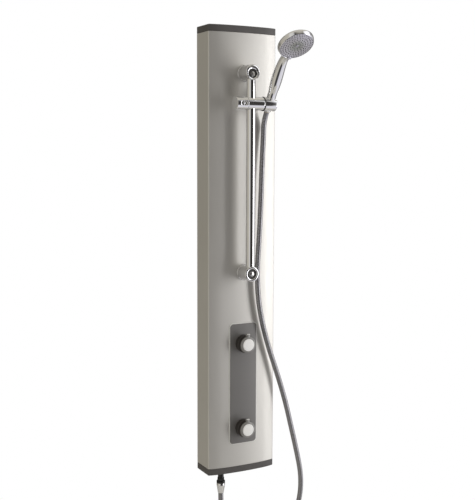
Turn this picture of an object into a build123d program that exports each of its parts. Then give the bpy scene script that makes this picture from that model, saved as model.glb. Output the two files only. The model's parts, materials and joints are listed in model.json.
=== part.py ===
from build123d import *
import math
import os

# Wall-hung thermostatic shower panel with a riser rail, a handset and a hose.
# Millimetres. Origin: centre of the four wall fixing holes, on the wall plane.
# +X right as seen from the front, +Y into the wall, +Z up.

# Panel housing
panelHeight = 1200.0
panelWidth = 200.0
sideDepth = 69.0
frontBow = 10.0
frontRadius = 700.0     # middle arc of the front
middleSpan = 62.0       # half width of the middle arc
wall = 2.0
lipWidth = 14.0
cornerRadius = 3.5
capHeight = 18.0
capWall = 3.0
capSkirtDepth = 12.0
capSkirtWall = 2.0
slipGap = 0.3
fitGap = 0.02           # pressed or glued fits
capRim = 2.2            # rounding of the caps' outer rim

# Wall brackets
bracketInset = 100.0    # panel end to the bracket's middle
holeInset = 40.0        # panel side to the wall hole
wallHoleRadius = 2.75
bracketHeight = 40.0
bracketSheet = 2.5
wingWidth = 16.0
wingLap = 4.0

# Riser rail and its two posts
railInset = 123.5       # panel top to the upper post
railCentres = 525.0
railStandOff = 38.0     # panel front to rail axis
railRadius = 12.0
railWall = 1.5
postBaseRadius = 21.0
postTipRadius = 19.0
flangeRadius = 22.0
flangeThick = 6.0
flangeChamfer = 0.8
postRound = 2.0
dishRadius = 13.5
dishDepth = 4.5
dishFlare = 3.0
insertThick = 1.2
insertGap = 0.4
boltRadius = 3.0
boltHeadRadius = 6.8
boltHeadThick = 3.0
boltSlotWide = 1.6
boltSlotDeep = 1.4
boltTail = 12.0         # panel front to the bolt's end inside
nutFlats = 10.0
nutThick = 5.0
nutWasher = 1.6
nutWasherRadius = 8.0
nutSeat = 0.1           # room for the bow under the washer's rim
spigotRadius = 4.0
spigotLength = 9.0
spigotGap = 0.1
plugLength = 16.0
plugSeat = 1.0
runningGap = 0.07

# Slider, clamp knob and tilting holder
sliderDrop = 79.5       # upper post to the slider at rest
sliderWall = 5.5
sliderLeft = -14.0
sliderRight = 33.4
knobSeam = 0.5
clampKnobLength = 32.5
clampKnobRim = 2.0
clampKnobHollow = 13.0
clampKnobHollowDepth = 12.0
frictionRingThick = 2.0
holderWall = 6.5
holderRim = 2.5
holderLength = 34.5
holderAxisX = 54.0
holderTilt = 32.5       # degrees forward of upright
coneLowRadius = 10.0
coneHighRadius = 12.0
coneHalfLength = 20.0
slotWidth = 15.0
shoeRadius = 7.0
pivotRadius = 3.5
clampScrewRadius = 4.0
clampScrewSeat = 6.0
knobMark = -28.0        # middle of the clamp knob's thumb pocket
pocketLength = 17.0
pocketHeight = 11.0
pocketCorner = 5.0
pocketDepth = 3.0
studRadius = 3.6
studHeight = 2.4
studRound = 1.2
shoeEnd = -2.0
pivotEnd = 14.0
pivotReach = 4.0
coneGap = 0.08

# Handset, measured along its handle from the holder's tilt axis
handleStart = 22.3
handleStations = [
    (22.3, 0.0, 11.9), (36.0, 0.0, 11.9), (62.0, -0.3, 14.2), (92.0, -0.2, 13.8), (120.0, 1.8, 11.9),
]
neckStation = (142.0, 9.4, 9.9)
handleWall = 2.6
headAlong = 187.8
headForward = 43.0
headBend = 21.7
headRadius = 47.0
headRimDepth = 9.7
headDepth = 24.0
headFlat = 6.0          # flat middle of the head's back
headLip = 1.2
faceRadius = 43.4
faceThick = 3.0
dialInner = 35.0
headWall = 2.4
waterTube = 4.2
waterTubeWall = 1.5
waterTubePoints = [(0, 0, 23.3), (0, 0, 108.0), (0, -12.4, 146.0), (0, -16.0, 160.0)]
waterTubeBend = 20.0
nippleLow = 9.0
nippleTail = 12.0
nippleTailRadius = 8.5
dialTabWidth = 11.0
dialTabHeight = 7.0
dialTabCorner = 1.5
dialProud = 0.1         # dial above the head's lip, so that the tab turns clear of it
nozzleRadius = 1.3
nozzleTaper = 0.7
nozzleLength = 3.8
nozzleProud = 0.8
nozzleRings = [(10.0, 8), (16.5, 14), (23.0, 20), (29.5, 26)]
centreCapRadius = 5.0
centreCapThick = 3.6
centreCapProud = 1.0
centreCapRound = 0.9
chamberDepth = 5.4
chamberWall = 2.0

# Control plate and knobs
plateWidth = 80.0
plateRise = 412.0       # panel bottom to the plate's top
plateHeight = 330.0
plateThick = 2.0
plateCorner = 9.5
foamThick = 0.4
foamInset = 4.0
tempKnobDrop = 54.0     # plate top to the upper knob
flowKnobDrop = 287.0
collarOverhang = 1.5
collarWall = 3.0
collarChamfer = 1.0
collarLength = 16.0
knobRadius = 22.5
knobLength = 12.0
knobGap = 1.5
knobChamfer = 3.2
knobDiscRadius = 16.5
knobDiscProud = 1.6
knobDiscSeat = 2.4
knobDiscRound = 1.3
knobDiscGap = 0.1
spindleRadius = 4.0
spindleSeat = 4.5
spindleReach = 20.0     # valve axis to the spindle's end
stemRadius = 11.0
stemGap = 2.5
tabWidth = 10.0
tabThick = 6.0
tabReach = 29.5
tabRoot = 4.0
tabCorner = 2.0
frontBoreGap = 3.5

# Water path inside the housing
threadRadius = 10.4775  # G1/2 thread
valveDepth = 36.0       # wall to valve axis
valveNose = 26.0        # valve axis to the front of its boss
bossRadius = 22.0
cartridgeRadius = 16.0
cartridgeSeat = 9.0     # valve axis back to the cartridge's seat
cartridgeNeck = 9.0
cartridgeNeckReach = 8.0
cartridgeNutThick = 5.0
mixerBarRadius = 15.0
mixerBarReach = 12.0    # inlet axis to the bar's end
mixerBore = 8.0
mixerEndWall = 4.0
supplyFlats = 26.0
supplyThick = 6.0
supplyLap = 2.0
inletPitch = 120.0
inletBore = 7.0
inletEnd = -4.0
checkBore = 3.5
checkLength = 10.0
filterBore = 2.0
filterThick = 2.0
filterSeat = 1.0
valveBlockWidth = 46.0
valveBlockDepth = 36.0
valveBlockHeight = 50.0
valveBlockCorner = 5.0
pipeSocket = 6.0
pipeGap = 0.05
pipeEndGap = 0.5
pipeBend = 18.0
pipeDropStart = 14.0    # below the flow valve, where the outlet pipe turns aside
pipeDropEnd = 58.0
mixedPipeTop = 10.5     # mixer axis down to the mixed water pipe's top
pipeRadius = 7.5
pipeWall = 1.0
outletX = -47.8
outletDepth = 40.0
outletNeck = 8.0
outletBore = 6.0
outletFlangeRadius = 13.5
outletFlangeThick = 3.0
outletTopGap = 4.0      # above the cap, where the pipe ends in the outlet
outletSocket = 8.0
lockNutFlats = 24.0
lockNutThick = 6.0
outletWasherRadius = 13.0
outletWasherThick = 1.5
shroudRadius = 11.7
threadEnd = 9.0
collarFlats = 18.0
collarDrop = 21.5       # bottom cap to the top of the outlet's collar
collarHeight = 8.0

# Hose
hoseRadius = 7.0
tailBore = 4.0
nutRadius = 11.6
nutLength = 28.0
hoseTopAlong = 22.0     # holder's tilt axis down to the top of the free hose
hoseNutDrop = 36.0      # bottom cap to the lower nut's top
nutBoreDepth = 11.4
washerThick = 2.0
washerRadius = 9.2
nutCollar = 6.0
nutLip = 1.0
upperCollar = 2.0
upperThread = 13.8      # half the depth of the upper nut's threaded bore
upperTailTop = 5.0
upperWasherAlong = 7.4
tailGap = 0.15

# The hose's route from the lower nut to the upper one, chosen point by point
hoseRoute = [
    (-47.8, -40, -694), (-46, -43, -733), (-29, -48, -778), (16, -54, -810), (76, -60, -822),
    (135, -66, -804), (175, -71, -756), (189, -75, -696), (187, -79, -636), (171, -82, -570),
    (150, -85, -494), (128, -87.5, -414), (101, -90, -336), (73, -91, -262), (50, -92, -186),
    (37, -92.5, -116), (33.8, -93, -42), (38.5, -93.5, 30), (42, -94.5, 106), (44, -95.5, 180),
    (47, -94, 250), (51.5, -91.5, 312),
]
hoseStraightTop = 32.0  # last run, in line with the upper nut
routeLow = -664.0       # heights between which the route was chosen
routeHigh = 351.46
bendShare = 0.45        # part of a run that a bend may use

parts = {}
halfHeight = panelHeight / 2
halfWidth = panelWidth / 2
panelFront = sideDepth + frontBow
postLength = railStandOff + railRadius
railZTop = halfHeight - railInset
sliderZ = railZTop - sliderDrop
sliderRadius = railRadius + sliderWall
holderRadius = coneHighRadius + holderWall
plateTop = -halfHeight + plateRise
tempKnobZ = plateTop - tempKnobDrop
flowKnobZ = plateTop - flowKnobDrop
collarRadius = knobRadius + collarOverhang
boreOfFront = stemRadius + frontBoreGap
middleAngle = math.asin(middleSpan / frontRadius)
middleSag = frontRadius * (1 - math.cos(middleAngle))
spindleEnd = valveDepth + spindleReach
neckLow = -halfHeight - collarDrop
collarLow = neckLow - collarHeight
hoseNutTop = -halfHeight - hoseNutDrop
railY = -(panelFront + railStandOff)
railZLow = railZTop - railCentres
plateFront = panelFront + plateThick


def cylinderAlong(axis, radius, low, high, x=0.0, y=0.0, z=0.0, topRadius=None):
    """A cylinder or cone whose axis runs along X, Y or Z from low to high."""
    top = radius if topRadius is None else topRadius
    length = high - low
    body = Cylinder(radius, length) if top == radius else Cone(radius, top, length)
    middle = (low + high) / 2
    if axis == "z":
        return Pos(x, y, middle) * body
    if axis == "x":
        return Pos(middle, y, z) * Rot(0, 90, 0) * body
    return Pos(x, middle, z) * Rot(-90, 0, 0) * body


def ringAlong(axis, outer, inner, low, high, x=0.0, y=0.0, z=0.0):
    """A plain ring or tube along X, Y or Z."""
    body = cylinderAlong(axis, outer, low, high, x, y, z)
    return body - cylinderAlong(axis, inner, low - 1, high + 1, x, y, z)


def box(x0, x1, y0, y1, z0, z1):
    """A block between two corners."""
    return Pos((x0 + x1) / 2, (y0 + y1) / 2, (z0 + z1) / 2) * Box(x1 - x0, y1 - y0, z1 - z0)


def hexAlong(acrossFlats, low, high, x=0.0, y=0.0, z=0.0):
    """A hexagonal prism along Y."""
    section = Plane.XZ * RegularPolygon(acrossFlats / math.sqrt(3), 6)
    prism = extrude(section, -(high - low))
    return Pos(x, low, z) * prism


def hexAlongZ(acrossFlats, low, high, x=0.0, y=0.0):
    """A hexagonal prism along Z."""
    return Pos(x, y, low) * extrude(RegularPolygon(acrossFlats / math.sqrt(3), 6), high - low)


def panelSection(inset=0.0):
    """The housing's outline seen from above: flat back and sides, and a front of three tangent arcs."""
    edgeY = -panelFront + middleSag
    middle = ThreePointArc((-middleSpan, edgeY), (0, -panelFront), (middleSpan, edgeY))
    left = TangentArc((-middleSpan, edgeY), (-halfWidth, -sideDepth),
                      tangent=(-math.cos(middleAngle), math.sin(middleAngle)))
    right = TangentArc((middleSpan, edgeY), (halfWidth, -sideDepth),
                       tangent=(math.cos(middleAngle), math.sin(middleAngle)))
    rest = Polyline((-halfWidth, -sideDepth), (-halfWidth, 0), (halfWidth, 0), (halfWidth, -sideDepth))
    section = make_face([left, middle, right] + list(rest.edges()))
    corners = section.vertices().filter_by(lambda v: v.Y < -wall and abs(v.X) > halfWidth - 0.1)
    section = fillet(corners, cornerRadius)
    return section if inset == 0 else offset(section, amount=-inset)


def frontStrip(width, height, low, high, cornerR):
    """A sheet of the given width and height that follows the front's middle arc from low to high outwards."""
    sheet = ringAlong("z", frontRadius + high, frontRadius + low, -height, height, y=frontRadius - panelFront)
    outline = extrude(Plane.XZ * RectangleRounded(width, height, cornerR), 2 * panelFront)
    return sheet & outline


def makeHousing():
    """Extruded aluminium housing, open at the back between two lips, and drilled for what it carries."""
    tubeLow = -halfHeight + capHeight
    tubeHigh = halfHeight - capHeight
    section = panelSection() - panelSection(wall)
    section -= Pos(0, -wall / 2, 0) * Rectangle(panelWidth - 2 * lipWidth, wall * 3)
    body = Pos(0, 0, tubeLow) * extrude(section, tubeHigh - tubeLow)
    for z in (railZTop, railZLow):
        body -= cylinderAlong("y", boltRadius + slipGap, -panelFront - 5, -sideDepth + 2, z=z)
    for z in (tempKnobZ, flowKnobZ):
        body -= cylinderAlong("y", boreOfFront, -panelFront - 5, -sideDepth + 2, z=z)
    parts["housing_profile"] = body


def makeCap(sign):
    """A moulded end cap: an outer tray flush with the housing and a skirt that plugs into it."""
    tray = extrude(panelSection(), capHeight)
    rim = tray.faces().sort_by(Axis.Z)[-1].edges()
    tray = fillet(rim, capRim)
    tray -= Pos(0, 0, -1) * extrude(panelSection(capWall), capHeight - capWall + 1)
    skirt = extrude(panelSection(wall + slipGap), capSkirtDepth + capHeight - capWall)
    skirt -= extrude(panelSection(wall + slipGap + capSkirtWall), capSkirtDepth + capHeight - capWall)
    skirt -= box(-halfWidth, halfWidth, -wall * 4, 1, -1, capSkirtDepth)
    cap = tray + Pos(0, 0, -capSkirtDepth) * skirt
    if sign > 0:
        parts["top_end_cap"] = Pos(0, 0, halfHeight - capHeight) * cap
    else:
        turned = Pos(0, 0, -halfHeight + capHeight) * mirror(cap, about=Plane.XY)
        hole = cylinderAlong("z", outletNeck + slipGap, -halfHeight - 5, -halfHeight + capHeight,
                             x=outletX, y=-outletDepth)
        parts["bottom_end_cap"] = turned - hole


def makeWallBrackets():
    """Two top-hat wall brackets whose wings hook behind the housing's lips."""
    plateHalf = halfWidth - lipWidth - wingLap
    holeZ = halfHeight - bracketInset
    for name, z in (("upper_wall_bracket", holeZ), ("lower_wall_bracket", -holeZ)):
        z0 = z - bracketHeight / 2
        z1 = z + bracketHeight / 2
        body = box(-plateHalf, plateHalf, -bracketSheet, 0, z0, z1)
        for side in (-1, 1):
            inner = side * (plateHalf - wingLap)
            outer = side * (plateHalf - wingLap + wingWidth)
            body += box(min(inner, outer), max(inner, outer), -2 * bracketSheet, -bracketSheet, z0, z1)
            body -= cylinderAlong("y", wallHoleRadius, -10, 10, x=side * (halfWidth - holeInset), z=z)
        parts[name] = body


def makeRailPost(name, z, railSide):
    """A chrome post with a shallow dish in its face and a blind hole for the rail's spigot."""
    base = -panelFront - flangeThick
    tip = -panelFront - postLength
    post = cylinderAlong("y", postTipRadius, tip, base, z=z, topRadius=postBaseRadius)
    tipEdge = post.edges().filter_by(GeomType.CIRCLE).sort_by(Axis.Y)[0]
    post = fillet(tipEdge, postRound)
    post -= cylinderAlong("y", dishRadius + dishFlare, tip - 0.01, tip + dishDepth, z=z, topRadius=dishRadius)
    post -= cylinderAlong("y", boltRadius + slipGap, tip - 5, base + 5, z=z)
    low = z + railSide * (postBaseRadius - spigotLength - spigotRadius)
    high = z + railSide * (postBaseRadius + 2 * plugSeat)
    post -= cylinderAlong("z", spigotRadius + spigotGap, min(low, high), max(low, high), y=railY)
    parts[name] = post


def makeRailPosts():
    """Both posts with their flanges, dished inserts, bolts and nuts."""
    makeRailPost("upper_rail_post", railZTop, -1)
    makeRailPost("lower_rail_post", railZLow, 1)
    base = -panelFront
    dishFloor = base - postLength + dishDepth
    flanges, inserts, bolts, nuts = [], [], [], []
    for z in (railZTop, railZLow):
        flange = ringAlong("y", flangeRadius, boltRadius + slipGap, base - flangeThick, base, z=z)
        edge = flange.edges().filter_by(GeomType.CIRCLE).sort_by(Axis.Y)[0:2].sort_by(SortBy.RADIUS)[-1]
        flanges.append(chamfer(edge, flangeChamfer))
        headBack = dishFloor - insertThick
        inserts.append(ringAlong("y", dishRadius - insertGap, boltRadius + slipGap, headBack, dishFloor, z=z))
        headFront = headBack - boltHeadThick
        head = cylinderAlong("y", boltHeadRadius, headFront, headBack, z=z)
        head -= box(-boltHeadRadius, boltHeadRadius, headFront - 1, headFront + boltSlotDeep,
                    z - boltSlotWide / 2, z + boltSlotWide / 2)
        bolts.append(head + cylinderAlong("y", boltRadius, headBack, -panelFront + boltTail, z=z))
        inside = -panelFront + wall + nutSeat
        nut = hexAlong(nutFlats, inside + nutWasher, inside + nutWasher + nutThick, z=z)
        washer = cylinderAlong("y", nutWasherRadius, inside, inside + nutWasher, z=z)
        nuts.append(nut + washer - cylinderAlong("y", boltRadius + fitGap, -panelFront, 0, z=z))
    parts["post_flanges"] = Compound(children=flanges)
    parts["post_dish_inserts"] = Compound(children=inserts)
    parts["post_bolts"] = Compound(children=bolts)
    parts["post_nuts"] = Compound(children=nuts)


def makeRail():
    """The riser rail, coped to the posts, and its two end plugs with spigots."""
    tube = ringAlong("z", railRadius, railRadius - railWall, railZLow, railZTop, y=railY)
    plugs = []
    for z, side in ((railZTop, -1), (railZLow, 1)):
        # cope the rail's end to the tapered post with a hair of room
        cope = -panelFront - postLength - 2
        tube -= cylinderAlong("y", postTipRadius + spigotGap, cope, -panelFront - flangeThick,
                              z=z, topRadius=postBaseRadius + spigotGap)
        face = z + side * (postBaseRadius + plugSeat)
        far = face + side * plugLength
        plug = cylinderAlong("z", railRadius - railWall - fitGap, min(face, far), max(face, far), y=railY)
        tip = face - side * (spigotLength + 3 * plugSeat)
        plugs.append(plug + cylinderAlong("z", spigotRadius, min(face, tip), max(face, tip), y=railY))
    parts["rail_tube"] = tube
    parts["rail_end_plugs"] = Compound(children=plugs)


def makeSlider():
    """The slider that grips the rail, its brake shoe, clamp knob, pivot bolt and friction ring."""
    body = cylinderAlong("x", sliderRadius, sliderLeft, sliderRight, y=railY, z=sliderZ)
    below = sliderZ - 2 * sliderRadius
    above = sliderZ + 2 * sliderRadius
    body -= cylinderAlong("z", railRadius + runningGap, below, above, y=railY)
    body -= cylinderAlong("x", shoeRadius + slipGap, sliderLeft - 1, shoeEnd, y=railY, z=sliderZ)
    body -= cylinderAlong("x", pivotRadius + fitGap, pivotEnd, sliderRight + 1, y=railY, z=sliderZ)
    parts["slider_body"] = body
    shoe = cylinderAlong("x", shoeRadius, sliderLeft + knobSeam, shoeEnd, y=railY, z=sliderZ)
    parts["brake_shoe"] = shoe - cylinderAlong("z", railRadius + spigotGap, below, above, y=railY)
    ring = ringAlong("x", holderRadius + 0.2, pivotRadius + 0.4, sliderRight, sliderRight + frictionRingThick,
                     y=railY, z=sliderZ)
    parts["friction_ring"] = ring
    holderLeft = sliderRight + frictionRingThick + slipGap
    pivot = cylinderAlong("x", pivotRadius, pivotEnd + knobSeam, holderLeft + pivotReach, y=railY, z=sliderZ)
    parts["holder_pivot_pin"] = pivot
    knobRight = sliderLeft - knobSeam
    knobLeft = knobRight - clampKnobLength
    knob = cylinderAlong("x", sliderRadius, knobLeft, knobRight, y=railY, z=sliderZ)
    outerRim = knob.edges().filter_by(GeomType.CIRCLE).sort_by(Axis.X)[0]
    knob = fillet(outerRim, clampKnobRim)
    hollowLeft = knobRight - clampKnobHollowDepth
    knob -= cylinderAlong("x", clampKnobHollow, hollowLeft, knobRight + 1, y=railY, z=sliderZ)
    pocket = extrude(Plane.XZ * RectangleRounded(pocketLength, pocketHeight, pocketCorner), 2 * pocketDepth)
    knob -= Pos(knobMark, railY - sliderRadius + pocketDepth, sliderZ) * pocket
    knob -= cylinderAlong("x", clampScrewRadius, knobLeft + clampScrewSeat, knobRight, y=railY, z=sliderZ)
    parts["clamp_knob"] = knob
    pocketFloor = railY - sliderRadius + pocketDepth
    button = cylinderAlong("y", studRadius, pocketFloor - studHeight, pocketFloor, x=knobMark, z=sliderZ)
    buttonEdge = button.edges().filter_by(GeomType.CIRCLE).sort_by(Axis.Y)[0]
    parts["clamp_knob_stud"] = fillet(buttonEdge, studRound)
    screwLeft = knobLeft + clampScrewSeat
    screw = cylinderAlong("x", clampScrewRadius - fitGap, screwLeft, sliderLeft + spigotGap, y=railY, z=sliderZ)
    parts["clamp_screw"] = screw
    holder = cylinderAlong("x", holderRadius, holderLeft, holderLeft + holderLength, y=railY, z=sliderZ)
    rightRim = holder.edges().filter_by(GeomType.CIRCLE).sort_by(Axis.X)[-1]
    holder = fillet(rightRim, holderRim)
    cone = Cone(coneLowRadius + coneGap, coneHighRadius + coneGap, 2 * coneHalfLength)
    holder -= handleFrame * cone
    holder -= handleFrame * Pos(holderLength / 2, 0, 0) * Box(holderLength, slotWidth, 4 * holderRadius)
    pivotHole = holderLeft + pivotReach + 1
    holder -= cylinderAlong("x", pivotRadius + runningGap, holderLeft - 1, pivotHole, y=railY, z=sliderZ)
    parts["handset_holder"] = holder


def handleLoft(shrink, low, high):
    """The handle's barrel: round sections along the handle, each with its own radius and forward offset."""
    sections = []
    for along, forward, radius in handleStations:
        if low <= along <= high:
            sections.append(Pos(0, -forward, along) * Circle(radius - shrink))
    tilt = headBend * 0.8
    along, forward, radius = neckStation
    sections.append(Pos(0, -forward, along) * Rot(tilt, 0, 0) * Circle(radius - shrink))
    headAt = Pos(0, -headForward + 13.0, headAlong - 12.0) * Rot(headBend, 0, 0)
    sections.append(headAt * Ellipse(12.0 - shrink, 8.5 - shrink))
    return loft(sections)


def headProfile(shrink):
    """Half section of the round head about its face's axis: domed back, full rim, open front."""
    r = headRadius - shrink
    back = -headDepth + shrink
    rim = -headRimDepth
    start = Line((0, back), (headFlat, back))
    dome = TangentArc((headFlat, back), (r, rim), tangent=(1, 0.02))
    mouth = faceRadius + headLip - shrink * 0.35
    lip = Line((r, rim), (mouth, 0))
    close = Polyline((mouth, 0), (0, 0), (0, back))
    return make_face([start, dome, lip, close])


def makeHandset():
    """The handset: shell, inner water tube, thread, face, dial, nozzles and centre cap."""
    dome = revolve(Plane.XZ * headProfile(0), Axis.Z)
    hollow = revolve(Plane.XZ * headProfile(headWall), Axis.Z)
    shell = handleFrame * handleLoft(0, handleStart, 200) + headFrame * dome
    shell -= headFrame * hollow
    shell -= headFrame * Pos(0, 0, 4.9) * Cylinder(faceRadius + slipGap, 10)
    neckCut = handleFrame * cutLoft
    shell -= neckCut
    tubePath = FilletPolyline(*waterTubePoints, radius=waterTubeBend)
    shell -= handleFrame * sweep(tubePath.location_at(0) * Circle(waterTube + slipGap), tubePath)
    parts["handset_shell"] = shell
    nippleMiddle = (nippleLow + handleStart) / 2
    nipple = Pos(0, 0, nippleMiddle) * Cylinder(threadRadius - pipeGap, handleStart - nippleLow)
    nipple += Pos(0, 0, handleStart + nippleTail / 2) * Cylinder(nippleTailRadius, nippleTail)
    nipple -= Pos(0, 0, handleStart) * Cylinder(waterTube + fitGap, 4 * nippleTail)
    parts["handset_nipple"] = handleFrame * nipple
    tube = sweep(tubePath.location_at(0) * Circle(waterTube), tubePath)
    tube -= sweep(tubePath.location_at(0) * Circle(waterTube - waterTubeWall), tubePath)
    parts["handset_water_tube"] = handleFrame * tube
    face = Pos(0, 0, -faceThick / 2) * Cylinder(dialInner - slipGap, faceThick)
    holes = nozzlePositions()
    for x, y in holes:
        face -= Pos(x, y, 0) * Cylinder(nozzleRadius, 20)
    face -= Cylinder(centreCapRadius, 20)
    parts["spray_face"] = headFrame * face
    dialThick = faceThick + dialProud
    dial = Cylinder(faceRadius, dialThick) - Cylinder(dialInner, 2 * dialThick)
    dial = Pos(0, 0, dialProud - dialThick / 2) * dial
    tab = Pos(0, -faceRadius - knobSeam, dialProud + faceThick / 2) * Box(dialTabWidth, dialTabHeight, faceThick)
    tab = fillet(tab.edges().filter_by(Axis.Z), dialTabCorner)
    parts["spray_dial"] = headFrame * (dial + tab)
    pin = Cone(nozzleRadius, nozzleRadius * nozzleTaper, nozzleLength)
    pins = []
    for x, y in holes:
        pins.append(Pos(x, y, nozzleProud - nozzleLength / 2) * pin)
    parts["spray_nozzles"] = headFrame * Compound(children=pins)
    cap = Pos(0, 0, centreCapProud - centreCapThick / 2) * Cylinder(centreCapRadius - pipeGap, centreCapThick)
    capEdge = cap.edges().filter_by(GeomType.CIRCLE).sort_by(Axis.Z)[-1]
    parts["face_centre_cap"] = headFrame * fillet(capEdge, centreCapRound)
    front = -faceThick - slipGap
    chamber = Pos(0, 0, front - chamberDepth / 2) * Cylinder(dialInner - chamberWall, chamberDepth)
    deep = chamberDepth - chamberWall
    chamber -= Pos(0, 0, front - deep / 2) * Cylinder(dialInner - 2 * chamberWall, deep)
    parts["spray_chamber"] = headFrame * chamber


def nozzlePositions():
    """Spray nozzle centres on rings about the face's axis."""
    places = []
    for radius, count in nozzleRings:
        for k in range(count):
            angle = 2 * math.pi * k / count + radius
            places.append((radius * math.cos(angle), radius * math.sin(angle)))
    return places


def makeKnob(name, z):
    """One control knob: fixed collar, gripping ring with its tab, disc, spindle and grub screw."""
    plate = -plateFront
    collar = ringAlong("y", collarRadius, collarRadius - collarWall, plate - collarLength, plate, z=z)
    edge = collar.edges().filter_by(GeomType.CIRCLE).sort_by(Axis.Y)[0:2].sort_by(SortBy.RADIUS)[-1]
    parts[name + "_knob_collar"] = chamfer(edge, collarChamfer)
    back = plate - collarLength - knobGap
    front = back - knobLength
    grip = cylinderAlong("y", knobRadius, front, back, z=z)
    frontEdge = grip.edges().filter_by(GeomType.CIRCLE).sort_by(Axis.Y)[0]
    grip = chamfer(frontEdge, knobChamfer)
    tabFront = front + knobChamfer
    tabLow = z + knobRadius - tabRoot
    tab = box(-tabWidth / 2, tabWidth / 2, tabFront, tabFront + tabThick, tabLow, z + tabReach)
    tab = fillet(tab.edges().filter_by(Axis.Y).group_by(Axis.Z)[-1], tabCorner)
    grip += tab
    stem = cylinderAlong("y", stemRadius, back, plate - stemGap, z=z)
    grip += stem
    grip -= cylinderAlong("y", knobDiscRadius + knobDiscGap, front - 1, front + knobDiscSeat, z=z)
    grip -= cylinderAlong("y", spindleRadius + fitGap, front + spindleSeat, plate, z=z)
    parts[name + "_knob_grip"] = grip
    disc = cylinderAlong("y", knobDiscRadius, front - knobDiscProud, front + knobDiscSeat, z=z)
    discEdge = disc.edges().filter_by(GeomType.CIRCLE).sort_by(Axis.Y)[0]
    parts[name + "_knob_disc"] = fillet(discEdge, knobDiscRound)
    spindle = cylinderAlong("y", spindleRadius, front + spindleSeat, -spindleEnd, z=z)
    parts[name + "_spindle"] = spindle


def makeControlPlate():
    """The dark control plate and the adhesive foam under it, both following the bowed front."""
    middle = plateTop - plateHeight / 2
    plate = Pos(0, 0, middle) * frontStrip(plateWidth, plateHeight, foamThick, plateThick, plateCorner)
    foamWidth = plateWidth - 2 * foamInset
    foamHeight = plateHeight - 2 * foamInset
    foam = Pos(0, 0, middle) * frontStrip(foamWidth, foamHeight, 0.0, foamThick, plateCorner - foamInset)
    for z in (tempKnobZ, flowKnobZ):
        plate -= cylinderAlong("y", boreOfFront, -panelFront - 5, -sideDepth, z=z)
        foam -= cylinderAlong("y", boreOfFront, -panelFront - 5, -sideDepth, z=z)
    parts["control_plate"] = plate
    parts["plate_foam"] = foam


def makeValves():
    """Thermostatic mixer with its two wall inlets, the flow valve, the pipes and the outlet."""
    y = -valveDepth
    bossFront = y - valveNose
    barHalf = inletPitch / 2 + mixerBarReach
    nutLow = y + mixerBarRadius - supplyLap
    mixer = cylinderAlong("x", mixerBarRadius, -barHalf, barHalf, y=y, z=tempKnobZ)
    mixer += cylinderAlong("y", bossRadius, bossFront, y, z=tempKnobZ)
    filters, checks = [], []
    for side in (-1, 1):
        x = side * inletPitch / 2
        mixer += cylinderAlong("y", threadRadius, y, inletEnd, x=x, z=tempKnobZ)
        mixer += hexAlong(supplyFlats, nutLow, nutLow + supplyThick, x=x, z=tempKnobZ)
    for side in (-1, 1):
        x = side * inletPitch / 2
        mixer -= cylinderAlong("y", inletBore, y, inletEnd + 1, x=x, z=tempKnobZ)
        filterLow = inletEnd - filterSeat - filterThick
        checkHigh = filterLow - filterSeat
        plug = inletBore - fitGap
        checks.append(ringAlong("y", plug, checkBore, checkHigh - checkLength, checkHigh, x=x, z=tempKnobZ))
        filters.append(ringAlong("y", plug, filterBore, filterLow, filterLow + filterThick, x=x, z=tempKnobZ))
    mixer -= cylinderAlong("x", mixerBore, -barHalf + mixerEndWall, barHalf - mixerEndWall, y=y, z=tempKnobZ)
    mixer -= cylinderAlong("y", cartridgeRadius, bossFront - 1, y + cartridgeSeat, z=tempKnobZ)
    pipeTop = tempKnobZ - mixedPipeTop
    mixer -= cylinderAlong("z", pipeRadius + pipeGap, tempKnobZ - bossRadius - 2, pipeTop + pipeEndGap, y=y)
    parts["mixer_body"] = mixer
    parts["inlet_check_valves"] = Compound(children=checks)
    parts["inlet_filters"] = Compound(children=filters)
    flowTop = flowKnobZ + valveBlockHeight / 2
    flowLow = flowKnobZ - valveBlockHeight / 2
    flow = Pos(0, y, flowKnobZ) * Box(valveBlockWidth, valveBlockDepth, valveBlockHeight)
    flow = fillet(flow.edges().filter_by(Axis.Z), valveBlockCorner)
    flow += cylinderAlong("y", bossRadius, bossFront, y, z=flowKnobZ)
    flow -= cylinderAlong("y", cartridgeRadius, bossFront - 1, y + cartridgeSeat, z=flowKnobZ)
    for z0, z1 in ((flowTop - pipeSocket, flowTop + 1), (flowLow - 1, flowLow + pipeSocket)):
        flow -= cylinderAlong("z", pipeRadius + pipeGap, z0, z1, y=y)
    parts["flow_valve_body"] = flow
    for name, z in (("temperature", tempKnobZ), ("flow", flowKnobZ)):
        core = cylinderAlong("y", cartridgeRadius - fitGap, bossFront, y + cartridgeSeat, z=z)
        core += cylinderAlong("y", cartridgeNeck, bossFront - cartridgeNeckReach, bossFront, z=z)
        core -= cylinderAlong("y", spindleRadius + pipeGap, -2 * panelFront, -spindleEnd, z=z)
        parts[name + "_cartridge"] = core
        nutFront = bossFront - cartridgeNutThick
        nut = ringAlong("y", bossRadius - 1, cartridgeNeck + slipGap, nutFront, bossFront, z=z)
        parts[name + "_cartridge_nut"] = nut & hexAlong(2 * bossRadius - 4, nutFront, bossFront, z=z)
    mixed = ringAlong("z", pipeRadius, pipeRadius - pipeWall, flowTop - pipeSocket, pipeTop, y=y)
    seat = y + cartridgeSeat + spigotGap
    mixed -= cylinderAlong("y", cartridgeRadius + spigotGap, bossFront - 1, seat, z=tempKnobZ)
    parts["mixed_water_pipe"] = mixed
    outletTop = -halfHeight + capHeight + outletTopGap
    path = FilletPolyline((0, y, flowLow + pipeSocket), (0, y, flowLow - pipeDropStart),
                          (outletX, -outletDepth, flowLow - pipeDropEnd), (outletX, -outletDepth, outletTop),
                          radius=pipeBend)
    pipe = sweep(path.location_at(0) * Circle(pipeRadius), path)
    pipe -= sweep(path.location_at(0) * Circle(pipeRadius - pipeWall), path)
    parts["outlet_pipe"] = pipe


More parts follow.
